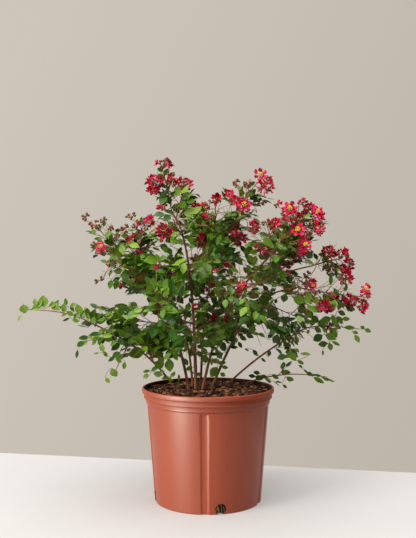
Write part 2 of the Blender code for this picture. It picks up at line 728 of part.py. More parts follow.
def soil_profile():
    """The potting mix follows the pot's inside, a gap off it."""
    shoulder = POT_HEIGHT - LOWER_COLLAR_DEPTH
    step = POT_HEIGHT - COLLAR_DEPTH
    clear = WALL + 2 * GAP
    top_radius = LOWER_COLLAR_RADIUS + (COLLAR_RADIUS - LOWER_COLLAR_RADIUS) * SOIL_TOP_SHARE
    return (
        (0.0, SOIL_LEVEL),
        (top_radius - clear, SOIL_LEVEL),
        (LOWER_COLLAR_RADIUS - clear, step),
        (BODY_TOP_RADIUS - clear, shoulder - EDGE),
        (wall_radius(WALL) - clear, WALL + GAP),
        (0.0, WALL + GAP),
    )


def flute_cutter(angle, where):
    """A bar that leans with the wall and cuts one upright flute into it."""
    low, high = -FLUTE_BAR / 2, POT_HEIGHT - LOWER_COLLAR_DEPTH - FLUTE_TOP_GAP
    solid = bmesh.new()
    bmesh.ops.create_cube(solid, size=1.0)
    tall = high - low
    bmesh.ops.scale(solid, vec=(FLUTE_WIDTH, FLUTE_BAR, tall), verts=solid.verts)
    lean = math.atan2(wall_radius(high) - wall_radius(low), tall)
    flat = math.cos(math.asin(FLUTE_WIDTH / 2 / BASE_RADIUS))
    middle = wall_radius((low + high) / 2) * flat - FLUTE_DEPTH + FLUTE_BAR / 2
    place = (
        Matrix.Rotation(angle, 4, "Z")
        @ Matrix.Translation((0, -middle, (low + high) / 2))
        @ Matrix.Rotation(lean, 4, "X")
    )
    solid.transform(place)
    return cutter_object("flute_cutter", solid, where)


def drain_cutter(angle, where):
    """A round hole through the wall that just breaks through the pot's bottom edge."""
    solid = bmesh.new()
    size = {"radius1": DRAIN_RADIUS, "radius2": DRAIN_RADIUS, "depth": DRAIN_CUT}
    bmesh.ops.create_cone(solid, cap_ends=True, segments=DRAIN_SIDES, **size)
    place = (
        Matrix.Rotation(angle, 4, "Z")
        @ Matrix.Translation((0, -BASE_RADIUS, DRAIN_HEIGHT))
        @ Matrix.Rotation(math.pi / 2, 4, "X")
    )
    solid.transform(place)
    return cutter_object("drain_cutter", solid, where)


def build_pot(shade, where, cutters):
    """The pot, with its flutes and its drain holes cut."""
    pot = turned("pot", pot_profile(), POT_STEPS, shade, where)
    for i in range(FLUTES):
        flute_cutter(math.radians(FIRST_FLUTE_DEG + i * 360 / FLUTES), cutters)
    for i in range(DRAINS):
        drain_cutter(math.radians(FIRST_DRAIN_DEG + i * 360 / DRAINS), cutters)
    boolean(pot, "DIFFERENCE", "EXACT", cutters)
    for cutter in list(cutters.objects):
        remove_object(cutter)
    shade_round(pot)


def build_limb(limb, grown, shade, where, cutters):
    """A stem or a bough. One that forks off partway up its parent is cut to a seat on it."""
    made = as_mesh(tube(limb.limb.name, limb.path, limb.radii, limb.sides, shade, where), where)
    if limb.limb.parent and limb.limb.share < 1:
        seat_on(made, grown[limb.limb.parent], cutters)
    shade_round(made)


def clear_scene():
    for made in list(bpy.data.objects):
        bpy.data.objects.remove(made)


def twig_section(where):
    """The triangle that a twig's tube is drawn from."""
    section = bpy.data.curves.new("twig_section", "CURVE")
    spline = section.splines.new("POLY")
    spline.points.add(TWIG_SIDES - 1)
    for i, point in enumerate(spline.points):
        angle = math.tau * i / TWIG_SIDES
        point.co = (math.cos(angle), math.sin(angle), 0.0, 1.0)
    spline.use_cyclic_u = True
    made = bpy.data.objects.new("twig_section", section)
    made.hide_render = True
    made.display_type = "WIRE"
    where.objects.link(made)
    return made


def main():
    clear_scene()
    plant = collection("potted_crape_myrtle")
    cutters = collection("cutters")
    shades = {
        "bark": material("bark", (0.16, 0.075, 0.04), 0.75),
        "foliage": material("foliage", (0.07, 0.17, 0.03), 0.5),
        "pot": material("pot", (0.42, 0.10, 0.045), 0.42),
        "soil": material("soil", (0.035, 0.02, 0.013), 0.95),
    }
    build_pot(shades["pot"], plant, cutters)
    shade_round(turned("potting_mix", soil_profile(), POT_STEPS, shades["soil"], plant))

    triangle = twig_section(collection("helpers"))
    grown = {limb.name: grow_stem(limb) for limb in STEMS}
    for limb in BOUGHS:
        grown[limb.name] = grow_bough(limb, grown)
    for limb in grown.values():
        build_limb(limb, grown, shades["bark"], plant, cutters)

    spines = {}
    for mass in MASSES:
        start = start_on(grown[mass.parent], mass.share, mass.tip, SPINE_RADIUS)
        spines[mass.name] = limb_curve(start, mass.tip, mass.arch, mass.lift, SPINE_POINTS)
    space = Space(spines, grown)
    leaves = blossoms = 0
    for mass in MASSES:
        parent = grown[mass.parent]
        made = build_mass(mass, spines[mass.name], parent, space, shades["foliage"], plant, cutters)
        leaves += made[0]
        blossoms += made[1]
    remove_object(triangle)
    print(f"{leaves} leaves and {blossoms} blossoms in {len(MASSES)} masses")


main()
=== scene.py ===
"""Looks of a potted crape myrtle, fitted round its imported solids.

Each limb gets bark. Each mass of foliage is grown again from its limb and its own stem, by the rule of the
solids, with finer twigs, leaves of true size, buds and ruffled flowers. The pot and its potting mix get
finer surfaces. Lengths are in metres, +Z is up and the camera looks along +Y.
"""

import json
import math
import random
from collections import namedtuple

import bmesh
import bpy
import numpy as np
from mathutils import Matrix, Quaternion, Vector, kdtree, noise

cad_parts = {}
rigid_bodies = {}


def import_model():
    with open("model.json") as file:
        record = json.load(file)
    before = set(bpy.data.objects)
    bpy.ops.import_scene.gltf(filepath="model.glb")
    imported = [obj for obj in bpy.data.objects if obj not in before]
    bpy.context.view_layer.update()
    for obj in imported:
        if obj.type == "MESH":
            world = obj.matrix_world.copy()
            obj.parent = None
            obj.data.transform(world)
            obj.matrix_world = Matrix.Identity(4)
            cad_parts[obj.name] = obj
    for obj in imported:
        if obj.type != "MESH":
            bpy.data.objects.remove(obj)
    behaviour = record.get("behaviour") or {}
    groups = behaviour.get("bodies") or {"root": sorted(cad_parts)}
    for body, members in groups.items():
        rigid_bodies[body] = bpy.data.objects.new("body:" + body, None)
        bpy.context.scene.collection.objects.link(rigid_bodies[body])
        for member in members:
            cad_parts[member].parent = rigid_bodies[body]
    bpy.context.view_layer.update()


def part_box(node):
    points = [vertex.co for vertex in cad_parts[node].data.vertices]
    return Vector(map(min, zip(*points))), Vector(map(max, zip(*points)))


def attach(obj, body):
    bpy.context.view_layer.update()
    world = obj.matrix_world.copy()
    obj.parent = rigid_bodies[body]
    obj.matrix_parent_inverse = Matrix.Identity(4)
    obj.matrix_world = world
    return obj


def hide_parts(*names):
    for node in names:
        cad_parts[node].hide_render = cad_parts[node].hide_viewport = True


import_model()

# What the solids say.
POT_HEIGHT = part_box("pot")[1].z
LIP_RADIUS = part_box("pot")[1].x
SOIL_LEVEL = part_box("potting_mix")[1].z

# The pot's steps, as in the source. Its flutes are a little narrower and deeper, as the photo shows them.
LIP_DEPTH = 0.0103
COLLAR_RADIUS = 0.1355
COLLAR_DEPTH = 0.0223
LOWER_COLLAR_RADIUS = 0.1315
LOWER_COLLAR_DEPTH = 0.0325
BODY_TOP_RADIUS = 0.1290
BASE_RADIUS = 0.1125
WALL = 0.0026
FLUTES = 5
FLUTE_WIDTH = 0.0130
FLUTE_DEPTH = 0.0023
FLUTE_TOP_GAP = 0.003
FLUTE_EDGE = 0.0040
FIRST_FLUTE_DEG = -3.2
DRAINS = 4
DRAIN_RADIUS = 0.0115
DRAIN_HEIGHT = 0.0105
FIRST_DRAIN_DEG = 13.0
POT_STEPS = 180
# The pot's inside, up to its lip's inner edge, is dark brown: painted shade.
PAINTED_SHADE_RINGS = 10
LIP_RINGS = 33

# The limbs, as in the source but for the foot of stem_low_right and the end of foliage_far_left, which stand
# where the photo shows them. arch 0 is a straight limb, and towards 1 it climbs first and leans out later.
Limb = namedtuple("Limb", "name parent share end foot_radius end_radius arch")
Mass = namedtuple(
    "Mass", "name parent share tip spread twigs blossoms leaf arch lift", defaults=(1.0, 0.2, 0.0)
)
STEM_POINTS = 60
BOUGH_POINTS = 40
SPINE_POINTS = 14
FLARE = 1.30
FLARE_HEIGHT = 0.012
BOUGH_SWELL = 0.35
BOUGH_SWELL_REACH = 0.006
NODE_SPACING = 0.031
NODE_WIDTH = 0.09
NODE_SWELL = 0.10
BARK_SIDES = 14
BARK_RIDGES = 0.13
BARK_FLAKES = 0.09
GOLDEN_ANGLE = math.radians(137.5)
CROWN_CENTRE = Vector((0.0, 0.02, 0.40))

FEET = {
    "stem_far_left": (-0.070, 0.005),
    "stem_left": (-0.042, 0.014),
    "stem_leader": (-0.026, 0.010),
    "stem_centre": (-0.011, 0.002),
    "stem_right": (0.009, 0.030),
    "stem_low_right": (0.0425, 0.058),
    "stem_far_right": (0.085, 0.078),
    "stem_back": (-0.016, 0.075),
    "stem_back_left": (-0.034, 0.058),
}

STEMS = [Limb("stem_" + name, None, 0.0, *rest) for name, *rest in (
    ("far_left", (-0.164, -0.020, 0.332), 0.0022, 0.0017, 0.18),
    ("left", (-0.132, 0.000, 0.452), 0.0031, 0.0021, 0.42),
    ("leader", (-0.077, 0.010, 0.606), 0.0036, 0.0017, 0.80),
    ("centre", (0.079, -0.030, 0.459), 0.0031, 0.0020, 0.35),
    ("right", (0.096, 0.040, 0.414), 0.0030, 0.0020, 0.06),
    ("low_right", (0.212, 0.030, 0.360), 0.0022, 0.0016, 0.15),
    ("far_right", (0.170, 0.068, 0.254), 0.0016, 0.0013, 0.30),
    ("back", (0.010, 0.135, 0.470), 0.0027, 0.0018, 0.55),
    ("back_left", (-0.095, 0.125, 0.430), 0.0026, 0.0018, 0.60),
)]

BOUGHS = [Limb("bough_" + name, *rest) for name, *rest in (
    ("far_left", "stem_far_left", 1.0, (-0.250, -0.035, 0.378), 0.0016, 0.0014, 0.10),
    ("low_left", "stem_far_left", 0.80, (-0.185, -0.055, 0.338), 0.0014, 0.0013, 0.30),
    ("upper_left", "stem_left", 1.0, (-0.184, 0.010, 0.503), 0.0019, 0.0016, 0.10),
    ("right_leader", "stem_leader", 0.50, (0.040, 0.000, 0.571), 0.0022, 0.0017, 0.05),
    ("front_left", "stem_leader", 0.24, (-0.070, -0.100, 0.385), 0.0017, 0.0015, 0.30),
    ("front_right", "stem_leader", 0.34, (0.040, -0.095, 0.436), 0.0017, 0.0015, 0.10),
    ("upper_right", "stem_centre", 1.0, (0.155, -0.020, 0.540), 0.0019, 0.0016, 0.05),
    ("right", "stem_centre", 0.88, (0.225, 0.020, 0.495), 0.0017, 0.0014, 0.25),
    ("right_low", "stem_right", 1.0, (0.186, -0.020, 0.450), 0.0018, 0.0014, 0.25),
    ("back_right", "stem_back", 0.55, (0.095, 0.165, 0.430), 0.0018, 0.0015, 0.20),
)]

MASSES = [Mass("foliage_" + name, *rest) for name, *rest in (
    ("far_left", "bough_far_left", 1.0, (-0.371, -0.050, 0.404), 0.024, 6, 0, 0.70, 0.4, 0.006),
    ("low_left", "bough_low_left", 1.0, (-0.252, -0.070, 0.340), 0.026, 5, 0, 0.75, 0.2, 0.012),
    ("left_droop", "bough_low_left", 0.62, (-0.185, -0.10, 0.285), 0.022, 4, 0, 0.65, 0.2, 0.010),
    ("left_low", "stem_left", 0.36, (-0.135, -0.085, 0.330), 0.042, 7, 0, 0.95, 0.2, 0.008),
    ("left_behind", "stem_far_left", 0.55, (-0.145, 0.060, 0.360), 0.044, 7, 0),
    ("left_middle", "stem_left", 0.52, (-0.210, -0.050, 0.385), 0.048, 8, 0),
    ("left_inner", "stem_left", 0.70, (-0.140, 0.065, 0.455), 0.050, 6, 0),
    ("upper_left", "bough_upper_left", 1.0, (-0.245, 0.018, 0.583), 0.034, 6, 2, 0.85),
    ("left_crimson", "bough_upper_left", 0.55, (-0.140, 0.010, 0.580), 0.042, 6, 1, 0.9),
    ("left_flower", "stem_left", 0.85, (-0.208, -0.062, 0.530), 0.038, 7, 1, 0.9),
    ("dark_left", "stem_leader", 0.70, (-0.092, -0.055, 0.592), 0.044, 6, 2),
    ("left_centre", "stem_leader", 0.50, (-0.095, -0.060, 0.480), 0.050, 7, 0),
    ("top", "stem_leader", 1.0, (-0.104, 0.010, 0.722), 0.032, 6, 3, 0.8),
    ("second_top", "stem_leader", 0.90, (-0.046, 0.030, 0.675), 0.036, 5, 2, 0.85),
    ("right_top", "bough_right_leader", 1.0, (0.120, 0.020, 0.688), 0.035, 6, 3, 0.8),
    ("centre_top", "bough_right_leader", 0.72, (0.015, -0.055, 0.618), 0.046, 7, 1),
    ("right_flower", "bough_right_leader", 0.92, (0.080, -0.040, 0.600), 0.040, 6, 2, 0.9),
    ("centre", "stem_leader", 0.56, (0.010, -0.105, 0.505), 0.054, 9, 0),
    ("centre_back", "bough_right_leader", 0.30, (0.030, 0.070, 0.545), 0.054, 8, 0),
    ("front_right", "bough_front_right", 1.0, (0.090, -0.160, 0.455), 0.054, 7, 1),
    ("front_left", "bough_front_left", 1.0, (-0.105, -0.175, 0.425), 0.054, 7, 0),
    ("front_low", "bough_front_left", 0.60, (-0.020, -0.130, 0.355), 0.050, 7, 0),
    ("middle_right", "stem_centre", 0.66, (0.115, -0.080, 0.385), 0.052, 7, 0),
    ("big_crimson", "bough_upper_right", 1.0, (0.218, -0.010, 0.618), 0.036, 6, 4, 0.9),
    ("upper_right", "bough_upper_right", 0.60, (0.125, -0.090, 0.556), 0.048, 8, 2),
    ("right_front", "bough_upper_right", 0.86, (0.196, -0.072, 0.550), 0.042, 7, 2),
    ("right", "bough_right", 1.0, (0.288, 0.020, 0.510), 0.034, 6, 3, 0.85),
    ("right_inner", "bough_right", 0.55, (0.190, 0.065, 0.545), 0.050, 7, 0),
    ("right_fork", "bough_right_low", 0.70, (0.225, -0.075, 0.430), 0.046, 7, 2),
    ("right_tip", "bough_right_low", 1.0, (0.338, -0.020, 0.428), 0.042, 7, 3, 0.9),
    ("right_low", "bough_right_low", 0.25, (0.205, 0.080, 0.380), 0.046, 7, 0),
    ("low_right", "stem_low_right", 1.0, (0.322, 0.000, 0.360), 0.035, 7, 0, 0.8, 0.3, 0.010),
    ("right_droop", "stem_low_right", 0.80, (0.176, -0.03, 0.306), 0.030, 5, 0, 0.7, 0.1, 0.010),
    ("far_right", "stem_far_right", 1.0, (0.262, 0.055, 0.250), 0.022, 5, 0, 0.65, 0.2, 0.006),
    ("back_right", "bough_back_right", 1.0, (0.180, 0.175, 0.500), 0.058, 7, 1),
    ("back_low", "stem_back", 0.42, (0.050, 0.200, 0.375), 0.054, 6, 0),
    ("back_top", "stem_back", 1.0, (-0.005, 0.130, 0.640), 0.052, 7, 2),
    ("back", "stem_back", 0.88, (0.000, 0.230, 0.500), 0.056, 7, 1),
    ("back_left", "stem_back_left", 1.0, (-0.165, 0.170, 0.505), 0.058, 7, 1),
)]

# The photo was taken from here, and its frame is 416 by 538. Places in it are x, y from its top left.
VIEW = Vector((0.0, -1.62, 0.488))
LENS = 50.9
SENSOR = 36.0
PHOTO_MIDDLE = (208.0, 269.0)
PHOTO_FOCUS = 761.0

# Flower heads in the photo's frame: middle, half width, half height, open flowers, buds and tone.
# A head's tone is partly its petals' own colour and partly painted light and shade.
Head = namedtuple("Head", "x y wide tall open buds tone", defaults=("mid",))
HEADS = [Head(*row) for row in (
    (155, 181, 8, 9, 9, 8, "bright"), (164, 162, 8, 6, 3, 14, "bright"), (171, 178, 5, 9, 1, 13),
    (154, 190, 7, 4, 3, 6), (184, 183, 9, 7, 7, 9, "bright"), (185, 192, 3, 3, 1, 2, "deep"),
    (195, 206, 5, 6, 4, 5), (164, 206, 3, 5, 1, 5), (147, 221, 6, 6, 4, 4, "bright"), (131, 215, 6, 4, 0, 9),
    (124, 228, 6, 6, 0, 11), (129, 239, 5, 4, 2, 5, "bright"), (142, 231, 7, 5, 0, 10),
    (164, 231, 7, 10, 7, 8, "deep"), (85, 216, 4, 5, 0, 8), (93, 223, 6, 6, 0, 9), (103, 219, 3, 3, 0, 5),
    (98, 226, 4, 4, 0, 7), (136, 225, 5, 4, 1, 6, "bright"), (111, 227, 3, 3, 0, 4), (116, 236, 4, 5, 0, 6),
    (93, 244, 3, 3, 0, 4), (102, 250, 4, 5, 1, 3), (110, 262, 6, 4, 0, 8), (99, 279, 5, 4, 0, 6),
    (137, 251, 2, 2, 1, 1, "bright"), (150, 244, 5, 4, 0, 6), (160, 266, 3, 2, 1, 1, "deep"),
    (170, 274, 3, 2, 1, 0, "deep"), (123, 283, 3, 5, 1, 2), (200, 240, 5, 7, 4, 3, "bright"),
    (208, 204, 5, 6, 0, 9), (194, 256, 4, 4, 0, 5), (211, 217, 8, 5, 1, 10), (217, 198, 4, 6, 3, 6),
    (229, 193, 5, 5, 3, 3), (236, 182, 4, 5, 0, 8), (248, 183, 5, 5, 0, 7),
    (266, 183, 9, 11, 8, 12, "bright"), (262, 201, 6, 3, 0, 7), (236, 201, 6, 5, 4, 4),
    (244, 206, 8, 6, 3, 6), (254, 226, 4, 8, 5, 3), (239, 237, 8, 6, 6, 5, "bright"), (236, 224, 3, 4, 0, 5),
    (262, 247, 5, 5, 3, 3, "deep"), (289, 213, 9, 9, 7, 4, "bright"), (278, 203, 3, 4, 1, 3, "bright"),
    (302, 201, 5, 4, 1, 5), (310, 207, 6, 6, 5, 3), (317, 216, 8, 5, 4, 3, "bright"), (320, 227, 4, 9, 4, 6),
    (302, 216, 4, 6, 2, 5), (312, 226, 5, 8, 1, 10), (304, 233, 5, 5, 2, 2, "bright"),
    (303, 246, 5, 9, 5, 2, "bright"), (296, 256, 4, 3, 1, 2, "deep"), (288, 264, 4, 3, 2, 1, "deep"),
    (275, 222, 6, 4, 4, 2, "deep"), (266, 221, 4, 3, 0, 5), (229, 261, 3, 2, 1, 2, "deep"),
    (329, 250, 6, 6, 5, 6), (342, 253, 8, 5, 5, 6), (350, 263, 4, 7, 4, 3), (340, 267, 7, 4, 4, 4, "deep"),
    (327, 267, 4, 6, 1, 8, "deep"), (345, 277, 7, 7, 4, 10), (310, 283, 6, 5, 4, 5, "deep"),
    (307, 274, 4, 5, 0, 7), (317, 291, 4, 3, 0, 5), (324, 305, 10, 5, 9, 5), (334, 294, 5, 3, 2, 2, "deep"),
    (352, 299, 6, 7, 6, 5), (363, 304, 4, 8, 5, 3), (366, 292, 5, 4, 3, 1, "bright"),
    (241, 287, 5, 3, 2, 2, "bright"), (218, 290, 3, 3, 0, 3), (210, 286, 2, 5, 2, 0, "deep"),
    (211, 318, 5, 3, 2, 1, "deep"), (228, 318, 3, 2, 1, 1, "deep"), (199, 305, 3, 2, 1, 1, "deep"),
    (330, 324, 3, 3, 1, 3, "bright"),
)]

# Open flowers whose yellow middle faces the photo: place and radius.
FACED = (
    (260, 175, 7.0), (244, 205, 8.0), (290, 209, 8.0), (318, 212, 7.0), (298, 230, 8.0), (306, 245, 7.5),
    (234, 233, 5.5), (313, 286, 5.0), (366, 289, 6.0), (101, 247, 6.5), (242, 285, 4.5),
)

# Gaps in the crown where the photo shows what is behind: middle, half width and half height.
GAPS = (
    (207, 187, 13, 9), (297, 186, 24, 9), (176, 168, 4, 8), (246, 169, 7, 6), (267, 212, 8, 8),
    (142, 205, 14, 8), (118, 218, 5, 7), (82, 241, 9, 10), (95, 265, 8, 6), (332, 236, 13, 7),
    (106, 298, 17, 7), (139, 301, 9, 6), (150, 319, 8, 6), (42, 322, 26, 8), (84, 361, 14, 13),
    (97, 352, 4, 9), (102, 368, 7, 9), (136, 367, 10, 8), (231, 366, 7, 9), (249, 350, 10, 16),
    (264, 360, 8, 9), (312, 352, 9, 13), (331, 362, 14, 11), (345, 340, 8, 11), (361, 317, 10, 8),
    (346, 318, 6, 5), (321, 274, 7, 11), (359, 280, 7, 7), (361, 266, 9, 8), (287, 304, 12, 8),
    (290, 312, 10, 4), (303, 268, 10, 5), (315, 246, 5, 5), (198, 252, 5, 5), (248, 222, 5, 4),
    (184, 367, 4, 6), (296, 363, 4, 6), (118, 366, 4, 6), (265, 286, 4, 3), (215, 272, 4, 3),
    (158, 254, 3, 4), (278, 292, 5, 5), (141, 318, 6, 4), (312, 367, 10, 7), (262, 330, 6, 5),
    (342, 375, 8, 5), (362, 334, 6, 7), (147, 170, 8, 6), (101, 233, 4, 5), (204, 199, 3, 6),
    (88, 331, 12, 3), (116, 287, 4, 3), (160, 209, 3, 4), (218, 217, 4, 3), (289, 208, 6, 3),
    (265, 344, 4, 4), (142, 326, 4, 4), (248, 206, 4, 3), (178, 194, 3, 3), (102, 347, 9, 2.5),
    (361, 352, 5, 7), (177, 200, 4, 3), (235, 181, 4, 3), (125, 301, 4, 4), (232, 208, 5, 3),
    (161, 212, 4, 4), (181, 188, 4, 3), (104, 301, 6, 4), (133, 350, 5, 4),
)

# Leafy twigs the photo shows by themselves: the limb or mass and the share of it where one starts, the place
# of its tip in the photo's frame, its depth, the size of its leaves, the share of it that is bare, how far it
# arches, and its tone.
# A sprig's tone is partly its leaves' own colour and partly painted light and shade.
Sprig = namedtuple("Sprig", "limb share x y depth leaf bare arch tone", defaults=(0.45, 0.12, "mid"))
SPRIGS = [Sprig(*row) for row in (
    ("stem_right", 0.40, 219, 352, 0.030, 0.80),
    ("stem_leader", 0.20, 198, 354, -0.060, 1.00, 0.4, 0.12, "deep"),
    ("stem_leader", 0.22, 187, 350, -0.050, 0.95),
    ("stem_centre", 0.25, 211, 354, -0.050, 1.00, 0.4, 0.12, "deep"),
    ("stem_centre", 0.28, 222, 344, -0.040, 0.95), ("stem_left", 0.25, 177, 352, -0.050, 1.00),
    ("stem_left", 0.30, 165, 347, -0.060, 1.00, 0.4, 0.12, "deep"),
    ("stem_right", 0.35, 231, 338, 0.000, 0.90, 0.4, 0.12, "deep"),
    ("bough_far_left", 0.93, 88, 312, -0.040, 0.95, 0.60, 0.00, "mid"),
    ("bough_far_left", 0.85, 98, 315, -0.040, 0.90, 0.60, 0.00, "deep"),
    ("foliage_low_left", 0.25, 95, 338, -0.070, 0.80, 0.25, 0.25, "mid"),
    ("bough_low_left", 0.60, 128, 334, -0.090, 1.25, 0.60, 0.15, "mid"),
    ("foliage_top", 0.20, 187, 190, 0.000, 1.20, 0.50, 0.10, "fresh"),
    ("foliage_top", 0.10, 191, 198, -0.005, 1.15, 0.60, 0.10, "deep"),
    ("foliage_top", 0.30, 158, 196, 0.000, 0.95, 0.50, 0.05, "deep"),
    ("stem_leader", 0.93, 197, 213, -0.020, 1.20, 0.50, 0.15, "fresh"),
    ("stem_leader", 0.90, 160, 212, -0.010, 1.00, 0.50, 0.15, "cool"),
    ("foliage_right_top", 0.55, 252, 193, 0.010, 0.95, 0.60, 0.10, "deep"),
    ("foliage_upper_left", 0.40, 99, 247, -0.010, 1.15, 0.60, 0.10, "deep"),
    ("foliage_upper_left", 0.45, 134, 245, -0.020, 1.10, 0.60, 0.10, "fresh"),
    ("foliage_left_flower", 0.60, 115, 284, -0.050, 0.95, 0.50, 0.10, "deep"),
    ("foliage_big_crimson", 0.30, 262, 238, -0.030, 1.10, 0.40, 0.10, "cool"),
    ("foliage_big_crimson", 0.35, 282, 237, -0.040, 1.20, 0.50, 0.10, "mid"),
    ("foliage_right", 0.75, 322, 252, 0.010, 0.95, 0.60, 0.10, "deep"),
)]
